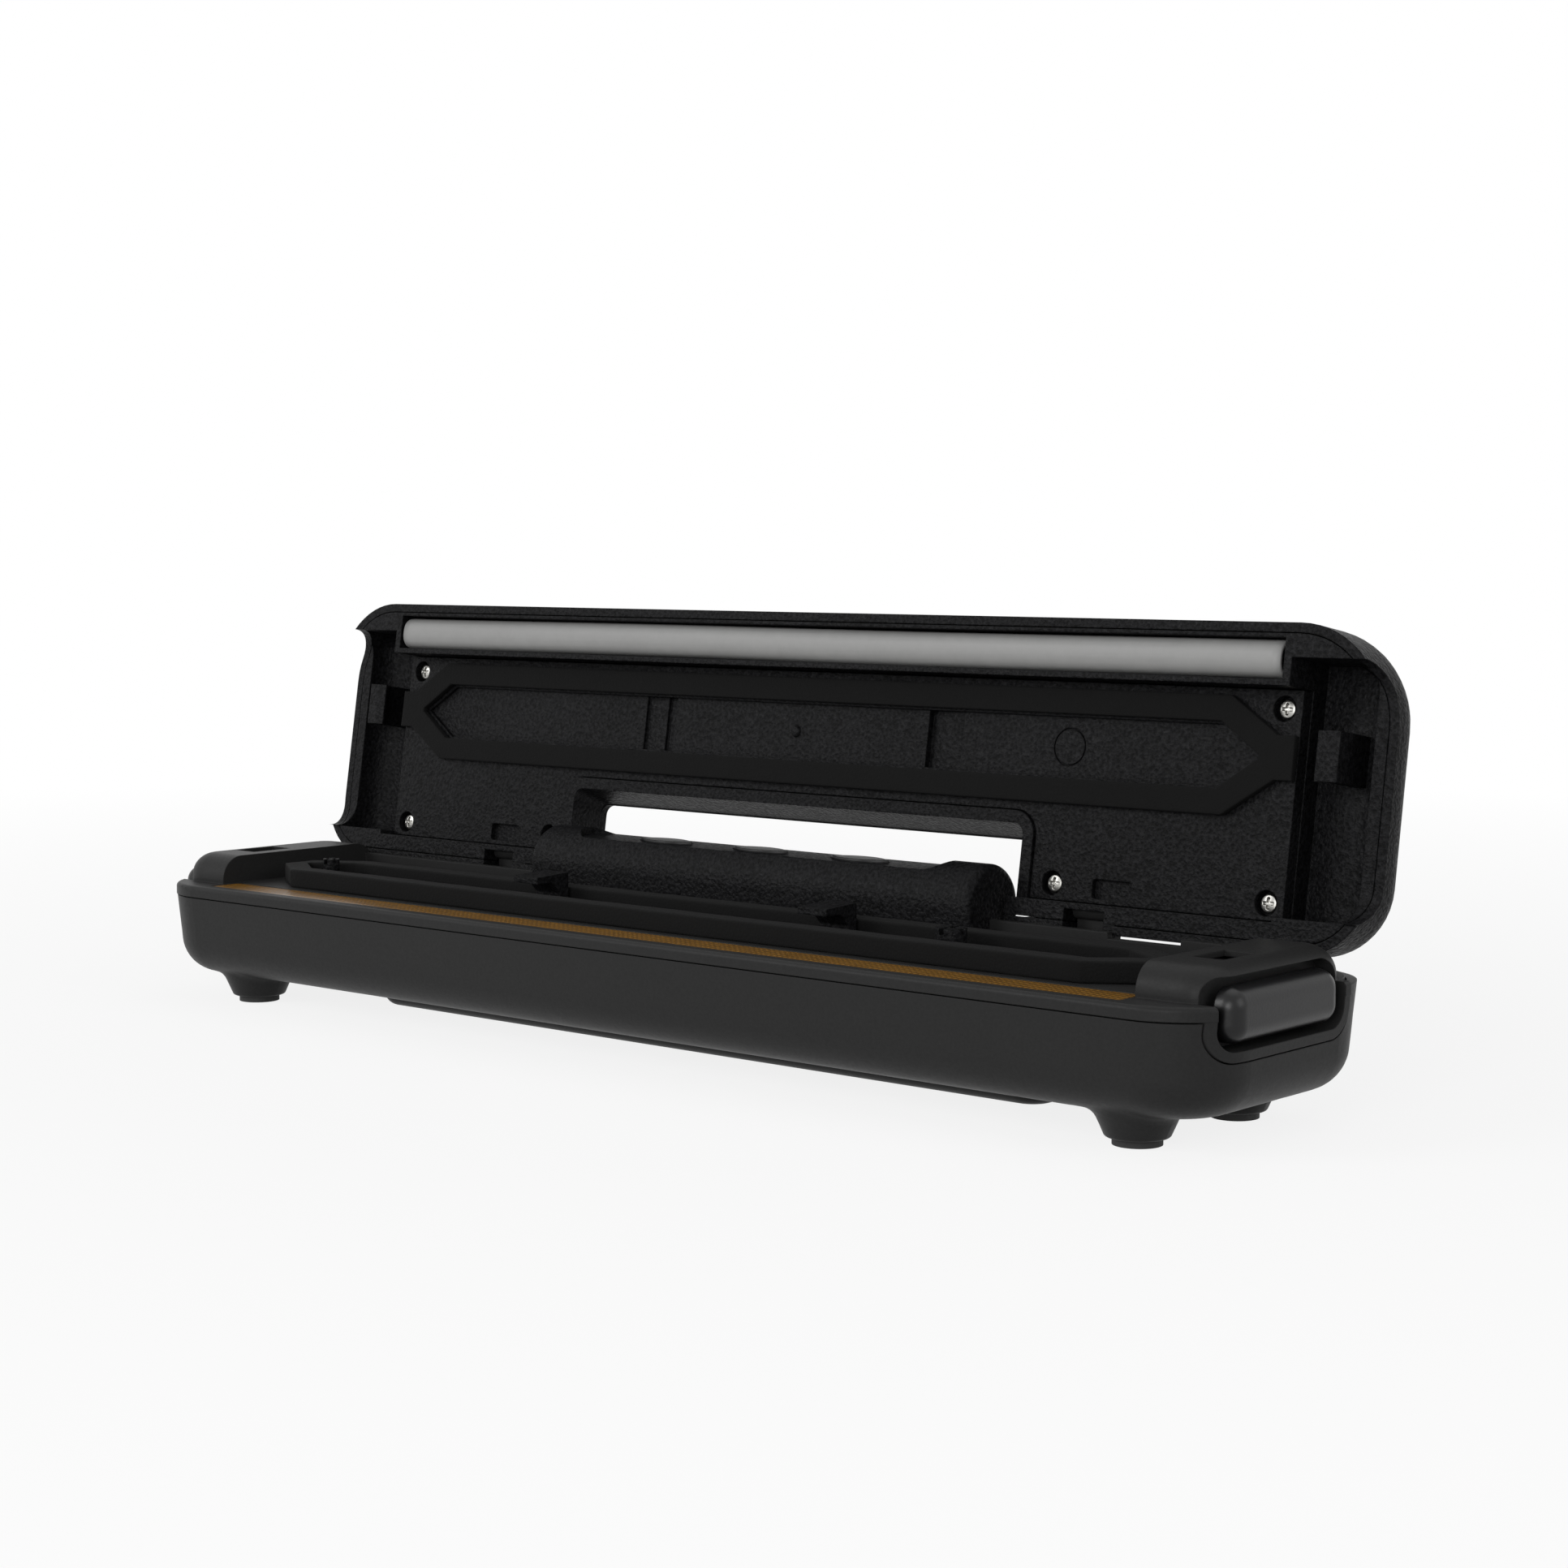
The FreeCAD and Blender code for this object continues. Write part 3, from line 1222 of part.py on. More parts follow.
def make_lid_inner_frame():
    body = new_body("lid_inner_frame", place_on_lid)
    half = "(size.half_length - size.frame_inset)"
    front = "-size.hinge_setback + size.frame_inset"
    rear = "size.lid_rear - size.frame_inset"
    outline = new_sketch(body, "XY", "-size.lid_rim")
    add_box(outline, "-" + half, half, front, rear)
    pad(body, outline, "size.lid_rim + size.frame_back")
    round_edges(body, "size.lid_front_corner - size.frame_inset", stands_at(half, front))
    round_edges(body, "size.lid_rear_corner - size.frame_inset", stands_at(half, rear))
    round_edges(body, "size.lid_edge_round - size.wall", is_level_at("size.frame_back"))

    border_half = "(size.window_length / 2 + size.border_width)"
    border_front = "-size.window_front - size.border_width"
    seat_half = "(size.plate_length / 2 + size.fit_gap)"
    seat_front = "-size.plate_front - size.fit_gap"
    seat_rear = "-size.plate_rear + size.fit_gap"
    seat = new_sketch(body, "XY", "-size.lid_rim")
    add_polygon(seat, [("-" + seat_half, seat_front), (seat_half, seat_front), (seat_half, seat_rear),
                       (border_half, seat_rear), (border_half, border_front),
                       ("-" + border_half, border_front), ("-" + border_half, seat_rear),
                       ("-" + seat_half, seat_rear)])
    pocket(body, seat, "size.lid_rim + size.frame_floor", True)
    border = new_sketch(body, "XY", "-size.lid_rim")
    add_box(border, "-" + border_half, border_half, border_front, seat_rear)
    pocket(body, border, "size.lid_rim + size.border_face", True)
    round_edges(body, "size.window_corner + size.border_width", stands_at(border_half, border_front))
    cut_window(body, "size.window_front", "-size.lid_rim - size.cut_margin", "size.border_face")
    cut_leaning_window(body, "size.border_face", "size.frame_back + size.cut_margin")

    back = new_sketch(body, "XY", "size.frame_back")
    sheet = "size.frame_sheet"
    back_half = f"({seat_half} - 2 * {sheet})"
    back_inner = f"({border_half} + {sheet})"
    back_front = f"{seat_front} + {sheet}"
    back_middle = f"{border_front} - {sheet}"
    back_rear = f"-size.plate_rear - {sheet}"
    add_polygon(back, [("-" + back_half, back_front), (back_half, back_front), (back_half, back_rear),
                       (back_inner, back_rear), (back_inner, back_middle), ("-" + back_inner, back_middle),
                       ("-" + back_inner, back_rear), ("-" + back_half, back_rear)])
    pocket(body, back, f"size.frame_back - size.frame_floor - {sheet}")

    groove = new_sketch(body, "XY", "-size.lid_rim")
    strip_half = "(size.strip_length / 2 + 4 * size.fit_gap)"
    add_box(groove, "-" + strip_half, strip_half, "-size.strip_front - size.fit_gap",
            "-size.strip_front + size.strip_width + size.fit_gap")
    pocket(body, groove, "size.lid_rim + size.strip_seat + size.seat_gap", True)

    wells = new_sketch(body, "XZ", "size.well_front")
    for side in (-1, 1):
        add_rounded_box(wells, f"{side} * size.well_inner", f"{side} * size.well_outer",
                        "-size.lid_rim - size.cut_margin", "size.well_floor",
                        (None, None, "size.well_curve", None))
    pocket(body, wells, "size.well_front - size.well_rear")
    cut_hinge_slots(body)
    cut_knuckle_rooms(body)
    cut_arches(body, "size.well_outer - size.well_curve")
    trim_rear_rim(body)

    for side in (-1, 1):
        pins = new_sketch(body, "YZ", f"{side} * size.hinge_centre - size.pin_length / 2 - size.fit_gap")
        add_circle(pins, "0", "0", "size.pin_radius + size.run_gap / 2")
        pocket(body, pins, "size.pin_length + 2 * size.fit_gap", True)
    holes = new_sketch(body, "XY", "size.frame_floor - size.cut_margin")
    for across, along in LID_SCREWS:
        add_circle(holes, across, along, "size.screw_shank + size.run_gap")
    pocket(body, holes, "size.frame_back", True)


def make_lid_inner_plate():
    body = new_body("lid_inner_plate", place_on_lid)
    half = "size.plate_length / 2"
    inner = "(size.window_length / 2 + size.border_width + size.fit_gap)"
    middle = "-size.window_front - size.border_width - size.fit_gap"
    outline = new_sketch(body, "XY", "size.plate_face")
    front = "-size.plate_front"
    rear = "-size.plate_rear"
    add_polygon(outline, [(f"-({half})", front), (half, front), (half, rear), (inner, rear), (inner, middle),
                          ("-" + inner, middle), ("-" + inner, rear), (f"-({half})", rear)])
    pad(body, outline, "size.frame_floor - size.seat_gap - size.plate_face")
    round_edges(body, "size.window_corner + size.border_width + size.fit_gap", stands_at(inner, middle))
    reach = "(size.ring_width / 2 - size.ring_band - 2 * size.fit_gap)"
    panel = new_sketch(body, "XY", "size.plate_face")
    point = "(size.ring_tip / 2 - 4 * size.fit_gap)"
    flank = "(size.ring_tip_straight / 2 - 2 * size.fit_gap)"
    right = [(flank, f"-{reach}"), (point, "0"), (flank, reach)]
    left = [(f"-{across}", f"-({up})") for across, up in right]
    add_polygon(panel, [(across, f"size.ring_y + ({up})") for across, up in right + left])
    pocket(body, panel, "size.panel_sink", True)
    stops = new_sketch(body, "XY", "size.plate_face")
    wide = "(size.stop_length / 2 + 4 * size.fit_gap)"
    for side in (-1, 1):
        add_box(stops, f"{side} * size.stop_centre - {wide}", f"{side} * size.stop_centre + {wide}",
                f"size.ring_y - {reach}", f"size.ring_y + {reach}")
    pocket(body, stops, "size.stop_pocket", True)
    slots = new_sketch(body, "XY", "size.plate_face")
    for side in (-1, 1):
        inner_edge = f"{side} * (size.stop_centre - {wide})"
        add_box(slots, inner_edge, f"{inner_edge} + {side} * size.stop_slot",
                f"size.ring_y - {reach}", f"size.ring_y + {reach}")
    pocket(body, slots, "size.stop_slot_depth", True)
    mark = new_sketch(body, "XY", "size.plate_face + size.panel_sink")
    add_circle(mark, "size.port_x", "size.ring_y", "size.mark_radius")
    add_circle(mark, "size.port_x", "size.ring_y", "size.mark_radius - size.mark_width")
    pocket(body, mark, "size.mark_depth", True)
    boss = new_sketch(body, "XY", "size.plate_face + size.panel_sink")
    add_circle(boss, "0", "size.ring_y", "size.boss_radius")
    pad(body, boss, "size.boss_height", True)
    round_edges(body, "size.boss_round", is_level_at("size.plate_face + size.panel_sink - size.boss_height"))
    dents = new_sketch(body, "XY", "size.plate_face")
    half_dent = "size.dent_length / 2"
    for side in (-1, 1):
        centre = f"{side} * size.dent_x"
        add_rounded_box(dents, f"{centre} - {half_dent}", f"{centre} + {half_dent}",
                        "-size.dent_y - size.dent_width / 2", "-size.dent_y + size.dent_width / 2",
                        ("size.dent_round",) * 4)
    pocket(body, dents, "size.dent_depth", True)
    heads = new_sketch(body, "XY", "size.plate_face")
    shanks = new_sketch(body, "XY", "size.plate_face")
    for across, along in LID_SCREWS:
        add_circle(heads, across, along, "size.screw_recess")
        add_circle(shanks, across, along, "size.screw_shank + size.fit_gap")
    pocket(body, heads, "size.screw_sink + size.screw_head_height + size.seat_gap", True)
    pocket(body, shanks, "size.frame_floor", True)


def make_upper_gasket():
    body = new_body("upper_gasket", place_on_lid)
    ring = new_sketch(body, "XY", "size.plate_face - size.seat_gap")
    add_ring(ring, "size.ring_y", "size.plate_length / 2")
    pad(body, ring, "size.upper_foam", True)


def make_pressure_strip():
    """Round-nosed channel, open towards its seat in the lid."""
    body = new_body("pressure_strip", place_on_lid)
    start = "-size.strip_length / 2"
    rear = "-size.strip_front + size.strip_width"
    middle = "-size.strip_front + size.strip_width / 2"
    crest = "-size.lid_rim + size.strip_width / 2"
    nose = new_sketch(body, "YZ", start)
    add_circle(nose, middle, crest, "size.strip_width / 2")
    pad(body, nose, "size.strip_length")
    sides = new_sketch(body, "YZ", start)
    add_box(sides, "-size.strip_front", rear, crest, "size.strip_seat")
    pad(body, sides, "size.strip_length")
    above = new_sketch(body, "YZ", start)
    add_box(above, "-size.strip_front", rear, "size.strip_seat", "size.strip_width")
    pocket(body, above, "size.strip_length", True)
    channel = new_sketch(body, "YZ", start)
    add_box(channel, "-size.strip_front + size.strip_wall", rear + " - size.strip_wall",
            crest, "size.strip_width")
    pocket(body, channel, "size.strip_length", True)
    hollow = new_sketch(body, "YZ", start)
    add_circle(hollow, middle, crest, "size.strip_width / 2 - size.strip_wall")
    pocket(body, hollow, "size.strip_length", True)


def make_latch_hook(name, side):
    """Hook that hangs from the well's floor, with its barb towards the middle."""
    body = new_body(name, place_on_lid)
    middle = "size.slot_setback - size.hinge_setback"
    profile = new_sketch(body, "XZ", f"-({middle} + size.hook_length / 2)")
    tip = "size.hook_tip_z - size.hinge_z"
    top = "size.well_floor - size.seat_gap"
    corners = [("size.hook_back", tip), ("size.hook_back", top), ("size.hook_front", top),
               ("size.hook_front", f"{tip} + size.barb_height"),
               ("size.barb_tip", f"{tip} + size.barb_height"),
               ("size.barb_tip", f"{tip} + size.barb_height / 2"), ("size.hook_front", tip)]
    add_polygon(profile, [(f"{side} * ({across})", up) for across, up in corners])
    pad(body, profile, "size.hook_length")


def make_hinge_pins():
    body = new_body("hinge_pins", place_on_lid)
    for side in (-1, 1):
        ring = new_sketch(body, "YZ", f"{side} * size.hinge_centre - size.pin_length / 2")
        add_circle(ring, "0", "0", "size.pin_radius")
        pad(body, ring, "size.pin_length")


make_lower_casing()
make_upper_casing()
make_bottom_cover()
make_screws("cover_screws", place_on_base, COVER_SCREWS, "size.cover_z + size.fit_gap",
            "size.floor_z + size.wall - size.cover_z - 2 * size.fit_gap", True)
make_foot_pads()
make_sealing_bar()
make_lower_gasket()
make_channel_tray()
make_port("vacuum_port", "size.port_x", "size.port_radius", "size.port_bore", "size.spigot_radius",
          "size.rim_z - size.rim_low + size.spigot_length")
make_port("sensor_port", "-size.sensor_x", "size.sensor_radius", "size.sensor_bore / 2", "size.sensor_bore",
          "size.rim_z - size.rim_low + size.spigot_length")
make_control_housing()
for name, place in (("key_left", -1), ("key_middle", 0), ("key_right", 1)):
    make_key(name, place)
for name, side in (("left", -1), ("right", 1)):
    make_side_button("side_button_" + name, side)
    make_latch_slider("latch_slider_" + name, side)
    make_latch_hook("latch_hook_" + name, side)
make_inner_parts()
make_pump()
make_hose()
make_cord_gland()
make_lid_outer_cover()
make_lid_inner_frame()
make_lid_inner_plate()
make_upper_gasket()
make_pressure_strip()
make_screws("lid_screws", place_on_lid, LID_SCREWS, "size.plate_face + size.screw_sink",
            "size.frame_floor + size.frame_sheet", True)
make_hinge_pins()
doc.recompute()

os.makedirs("parts", exist_ok=True)
for piece in pieces:
    if "Invalid" in piece.State or "Error" in piece.State:
        raise ValueError(piece.Label + " did not recompute")
    if piece.Shape.isNull() or not piece.Shape.isValid():
        raise ValueError(piece.Label + " has no valid shape")
    piece.Shape.exportStep(f"parts/{piece.Label}.step")
    print(piece.Label, len(piece.Shape.Solids), round(piece.Shape.Volume), piece.Shape.BoundBox)
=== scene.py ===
"""Finishes, soft parts and studio for the countertop vacuum sealer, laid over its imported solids."""

import json
import math

import bmesh
import bpy
import numpy as np
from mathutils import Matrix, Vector

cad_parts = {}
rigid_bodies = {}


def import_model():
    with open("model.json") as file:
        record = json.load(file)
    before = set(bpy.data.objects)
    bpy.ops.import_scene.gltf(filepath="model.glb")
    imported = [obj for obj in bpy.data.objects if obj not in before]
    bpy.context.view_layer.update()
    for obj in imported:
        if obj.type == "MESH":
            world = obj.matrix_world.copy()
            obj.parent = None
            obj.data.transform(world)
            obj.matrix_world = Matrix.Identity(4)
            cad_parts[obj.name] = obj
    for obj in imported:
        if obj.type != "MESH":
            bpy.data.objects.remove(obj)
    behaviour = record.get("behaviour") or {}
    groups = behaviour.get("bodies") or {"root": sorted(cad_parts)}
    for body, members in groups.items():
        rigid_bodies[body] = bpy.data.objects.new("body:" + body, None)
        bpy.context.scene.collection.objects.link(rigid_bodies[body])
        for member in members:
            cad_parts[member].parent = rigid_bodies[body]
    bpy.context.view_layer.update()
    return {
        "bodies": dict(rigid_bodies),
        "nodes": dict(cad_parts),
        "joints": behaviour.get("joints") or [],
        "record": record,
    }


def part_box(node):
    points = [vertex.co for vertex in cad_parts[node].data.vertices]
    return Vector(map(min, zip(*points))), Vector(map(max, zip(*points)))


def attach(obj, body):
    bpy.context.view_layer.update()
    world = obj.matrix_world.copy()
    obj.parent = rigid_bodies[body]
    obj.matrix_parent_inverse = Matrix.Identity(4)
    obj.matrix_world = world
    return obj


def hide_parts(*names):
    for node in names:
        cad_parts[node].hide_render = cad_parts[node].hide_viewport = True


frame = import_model()

bl_info = {
    "name": "Vacuum sealer",
    "version": (1, 0, 0),
    "blender": (4, 5, 0),
    "location": "3D View > Sidebar > Sealer",
    "description": "Dresses the vacuum sealer's solids and sets up its studio",
    "category": "Object",
}

MM = 0.001

# Sockets of the Mix node, which has one pair for numbers and one for colours.
MIX_SHARE = 0
MIX_NUMBERS = (2, 3)
MIX_COLOURS = (6, 7)
MIX_NUMBER_OUT = 0
MIX_COLOUR_OUT = 2

# A wave texture has a full wave every 0.314 metres at a scale of one.
WAVE_LENGTH = 0.314

# Places on the lid, in millimetres from the middle of the hinge line with the lid shut.
# Strip and ring have a place back and one up, and each screw one across and one back.
STRIP_MIDDLE = -65.5
STRIP_SEAT = 0.2
RING_MIDDLE = -41.85
RING_FACE = 0.05
SCREW_FLOOR = 2.3
SCREW_PLACES = np.array([(-156.0, -54.0), (156.0, -54.0), (-156.0, -6.5),
                         (156.0, -6.5), (-92.4, -6.5), (92.4, -6.5)])

# Solids in black ABS whose tool was polished instead of grained.
SMOOTH_NODES = ("lower_casing", "upper_casing", "bottom_cover")

# Half outlines of the foam rings, in millimetres from their middle.
# Each outer corner has its inner one.
RING_OUTER = np.array([(142.0, -14.85), (156.0, -5.5), (156.0, 5.5), (142.0, 14.85)])
RING_INNER = np.array([(139.8, -8.35), (151.0, -0.55), (151.0, 0.55), (139.8, 8.35)])
TAILED_OUTER = np.array([(142.0, -14.85), (156.0, -5.5), (161.0, -5.5),
                         (161.0, 5.5), (156.0, 5.5), (142.0, 14.85)])
TAILED_INNER = np.array([(139.8, -8.35), (150.2, -1.1), (151.0, -0.55),
                         (151.0, 0.55), (150.2, 1.1), (139.8, 8.35)])

# Pressing strip: power of its arch, and its slow bows, each with a height in millimetres and a turn
# in radians per metre along the strip.
ARCH_POWER = 0.8
ARCH_POINTS = 33
STRIP_STEPS = 121
BOW_BACK = (0.12, 31.0)
BOW_UP = (0.06, 47.0)
BOW_START = 1.0

# Foam rings: power of their section, and the turns of the waves on their faces, in radians per metre.
SECTION_POWER = 2 / 9
STEPS_PER_SIDE = 60
SECTION_POINTS = 40
FOAM_TURNS = (210.0, 97.0, 300.0)

# Cloth tape: turns of its waves along and across, in radians per metre, and how far its edges sink, in
# millimetres.
TAPE_TURNS = (190.0, 260.0)
TAPE_EDGE_DROP = 0.12
TAPE_POINTS = (325, 15)

# Profile of a lid screw: heights in millimetres from the underside of its head, and shares of its radius.
CROWN_TOP = 1.25
CROWN_FALL = 0.35
CROWN_SHARE = 0.90
RIM_SHARE = 0.97
RIM_TOP = 0.75
RIM_LOW = 0.5
SHANK_END = -4.2
POINT_END = -4.7
CROWN_RINGS = 28
SCREW_POINTS = 96

# Cross recess of a lid screw, in millimetres: height of its middle, depth, half width, widths of the
# slopes at its sides and ends, and the lowest height that it is pressed into.
CROSS_FLOOR = 0.45
CROSS_DEPTH = 0.85
CROSS_HALF = 0.45
CROSS_SLOPE = 0.16
CROSS_END_SLOPE = 0.55
CROSS_LOWEST = 0.8

# Points of a screw that are nearer than this, in metres, are one point.
SAME_POINT = 1e-6

# Studio, in metres and watts: each soft box with its place, width and power.
LAMPS = {
    "key_lamp": ((-0.9, -1.4, 0.8), 0.8, 13.0),
    "front_lamp": ((0.6, -1.6, 0.5), 0.8, 13.0),
    "top_lamp": ((0.2, 0.3, 1.6), 1.2, 3.0),
    "side_lamp": ((1.5, 0.1, 0.7), 0.9, 5.0),
}
LAMP_AIM = Vector((0.0, 0.0, 0.05))
WORLD_AS_LIGHT = 0.25

# Floor, in metres from the middle: its half width and where it turns from its own shade to plain white.
FLOOR_HALF = 3.0
FLOOR_LINES = 3
FADE_START = 0.15
FADE_END = 0.9
FADE_NEAR = 0.84

# Camera: places and nearest sight in metres, lens and sensor in millimetres.
EYE = Vector((0.5178, -0.56795, 0.1363))
EYE_AIM = Vector((0.0076, 0.01895, 0.0710))
LENS = 65.39
SENSOR = 36.0
NEAREST = 0.01


def linear(code):
    """Turns an sRGB hex colour into linear red, green, blue and full alpha, by the standard's curve."""
    parts = np.array([int(code[at:at + 2], 16) for at in (1, 3, 5)]) / 255.0
    low = parts / 12.92
    high = ((parts + 0.055) / 1.055) ** 2.4
    return (*np.where(parts <= 0.04045, low, high).tolist(), 1.0)


def colour(name, code, description):
    """A colour property with its default given as an sRGB hex value."""
    return bpy.props.FloatVectorProperty(name=name, description=description, default=linear(code),
                                         size=4, subtype="COLOR", min=0.0, max=1.0)


def length(name, millimetres, description):
    """A length property with its default given in millimetres."""
    return bpy.props.FloatProperty(name=name, description=description, default=millimetres * MM,
                                   unit="LENGTH", subtype="DISTANCE", min=0.0)


class SealerSizes(bpy.types.PropertyGroup):
    """Sizes of the pieces that are made here."""

    strip_length: length("Strip length", 316.0, "Length of the pressing strip")
    strip_half: length("Strip half width", 4.8, "Half the width of the pressing strip")
    strip_crest: length("Strip crest", 7.7, "How far the strip stands below the hinge line")
    strip_shoulder: length("Strip shoulder", 2.5, "Where the strip's straight legs end")
    strip_wall: length("Strip wall", 1.4, "Wall of the hollow pressing strip")
    foam_high: length("Upper foam", 2.2, "Thickness of the ring in the lid")
    foam_wave: length("Foam wave", 0.10, "How far the foam's face wanders")
    tape_length: length("Tape length", 324.0, "Length of the cloth tape over the heating strip")
    tape_width: length("Tape width", 10.0, "Width of the cloth tape over the heating strip")
    tape_wave: length("Tape wave", 0.05, "How far the tape lifts between its hot spots")
    screw_head: length("Screw head", 2.3, "Radius of a lid screw's head")
    screw_shank: length("Screw shank", 1.25, "Radius of a lid screw's shank")
    screw_cross: length("Screw cross", 1.6, "Reach of the cross recess from the screw's middle")


class SealerColours(bpy.types.PropertyGroup):
    """Colours of the finishes."""

    black_abs: colour("Black ABS", "#131314", "Grained lid and housing")
    smooth_abs: colour("Smooth ABS", "#242424", "Smooth base shell")
    satin_abs: colour("Satin ABS", "#0e0e0f", "Push buttons and keys")
    foam: colour("Foam", "#070707", "Closed-cell foam rings")
    silicone: colour("Silicone", "#858584", "Extruded pressing strip")
    glass_cloth: colour("Glass cloth", "#7a5517", "Coated tape over the heating strip")
    zinc: colour("Zinc", "#9d9c98", "Screws and pins")
    rubber: colour("Rubber", "#151515", "Feet and cord gland")
    mica: colour("Mica board", "#94897b", "Bed under the heating strip")
    alloy: colour("Heating alloy", "#aeaca8", "Rolled heating strip")
    pump: colour("Pump plastic", "#cbcbc8", "Moulded pump head")
    steel: colour("Motor steel", "#bcbcbc", "Motor can and transformer core")
    board: colour("Circuit board", "#276f4c", "Solder mask")


def add(tree, kind, values=None, links=None, **settings):
    """Adds one node with its settings, its inputs' values and its links from other nodes' outputs."""
    node = tree.nodes.new("ShaderNode" + kind)
    for name, setting in settings.items():
        setattr(node, name, setting)
    for socket, number in (values or {}).items():
        node.inputs[socket].default_value = number
    for socket, (source, output) in (links or {}).items():
        tree.links.new(source.outputs[output], node.inputs[socket])
    return node


def new_finish(name):
    """An empty material with its node tree and the object's own coordinates."""
    material = bpy.data.materials.new(name)
    material.use_nodes = True
    tree = material.node_tree
    tree.nodes.clear()
    return material, tree, add(tree, "TexCoord")


def shade(tint, share):
    """A colour made lighter or darker by a share, with its alpha kept."""
    return (*(min(1.0, part * share) for part in tint[:3]), 1.0)


def close_finish(tree, tones, factor, rough, normal, **fixed):
    """Ends a finish: two tones mixed by one pattern, a roughness range by the same, and a normal."""
    tone = add(tree, "Mix", dict(zip(MIX_COLOURS, tones)), {MIX_SHARE: factor}, data_type="RGBA")
    sheen = add(tree, "MapRange", {"To Min": rough[0], "To Max": rough[1]}, {"Value": factor})
    constants = {key.replace("_", " "): part for key, part in fixed.items()}
    surface = add(tree, "BsdfPrincipled", constants,
                  {"Base Color": (tone, MIX_COLOUR_OUT), "Roughness": (sheen, "Result"),
                   "Normal": (normal, "Normal")})
    add(tree, "OutputMaterial", None, {"Surface": (surface, "BSDF")})


def blend_patterns(tree, share, first, second):
    """One number from two patterns, with the share that the second has in it."""
    links = dict(zip(MIX_NUMBERS, (first, second)))
    return add(tree, "Mix", {MIX_SHARE: share}, links, data_type="FLOAT")


def moulded_abs(name, tint, grain, depth, painted_glint_contrast, rough, gloss):
    """ABS moulded in a spark-eroded tool: a fine, even pebble grain whose tops catch the light and carry
    a painted highlight, whose hollows carry painted shade, over slow patches where the gloss and tone
    change a little, and corners that the tool leaves slightly round.
    The real grain is about 0.2 mm wide and is drawn several times coarser, so that it shows."""
    patch_width = 22.0 * MM
    corner_radius = 0.45 * MM
    material, tree, place = new_finish(name)
    noise = add(tree, "TexNoise", {"Scale": 1.0 / (grain * MM), "Detail": 2.0, "Roughness": 0.55},
                {"Vector": (place, "Object")})
    pebble_and_painted_glint = add(tree, "MapRange", {"From Min": 0.32, "From Max": 0.68}, {"Value": (noise, "Fac")})
    patch = add(tree, "TexNoise", {"Scale": 1.0 / patch_width, "Detail": 2.0},
                {"Vector": (place, "Object")})
    mixed = blend_patterns(tree, 0.25, (pebble_and_painted_glint, "Result"), (patch, "Fac"))
    corner = add(tree, "Bevel", {"Radius": corner_radius}, None, samples=4)
    bump = add(tree, "Bump", {"Strength": 1.0, "Distance": depth * MM},
               {"Height": (pebble_and_painted_glint, "Result"), "Normal": (corner, "Normal")})
    # The grain's tops are painted lighter, a painted highlight, and its hollows darker, painted shade;
    # the slow patches add a real change of tone.
    tones = (shade(tint, 1 - painted_glint_contrast), shade(tint, 1 + painted_glint_contrast))
    close_finish(tree, tones, (mixed, MIX_NUMBER_OUT), rough, bump, IOR=1.53, Specular_IOR_Level=gloss)
    return material


def closed_cell_foam(name, tint):
    """Die-cut closed-cell foam: a dull face full of half-cut cells, about 0.5 mm wide and drawn at
    0.8 mm, with paler blotches a few millimetres wide where the skin was rubbed."""
    cell_width = 0.8 * MM
    cell_depth = 0.12 * MM
    blotch_width = 3.5 * MM
    material, tree, place = new_finish(name)
    cells = add(tree, "TexVoronoi", {"Scale": 1.0 / cell_width}, {"Vector": (place, "Object")})
    blotch = add(tree, "TexNoise", {"Scale": 1.0 / blotch_width, "Detail": 4.0, "Roughness": 0.7},
                 {"Vector": (place, "Object")})
    bump = add(tree, "Bump", {"Strength": 0.7, "Distance": cell_depth}, {"Height": (cells, "Distance")})
    tones = (shade(tint, 0.55), shade(tint, 1.7))
    close_finish(tree, tones, (blotch, "Fac"), (0.86, 0.97), bump, IOR=1.45, Specular_IOR_Level=0.2)
    return material


def extruded_silicone(name, tint):
    """Silicone drawn through a die: soft and dull, with faint lines along its length about 0.6 mm
    apart, drawn at 1.1 mm, and a fine bloom of dust."""
    line_gap = 1.1 * MM
    line_depth = 0.04 * MM
    dust_width = 5.0 * MM
    stretch = (0.03, 1.0, 1.0)
    material, tree, place = new_finish(name)
    along = add(tree, "Mapping", {"Scale": stretch}, {"Vector": (place, "Object")})
    lines = add(tree, "TexNoise", {"Scale": 1.0 / line_gap, "Detail": 2.0},
                {"Vector": (along, "Vector")})
    dust = add(tree, "TexNoise", {"Scale": 1.0 / dust_width, "Detail": 5.0, "Roughness": 0.65},
               {"Vector": (place, "Object")})
    bump = add(tree, "Bump", {"Strength": 0.5, "Distance": line_depth}, {"Height": (lines, "Fac")})
    tones = (shade(tint, 0.88), shade(tint, 1.10))
    close_finish(tree, tones, (dust, "Fac"), (0.40, 0.52), bump, IOR=1.41)
    return material


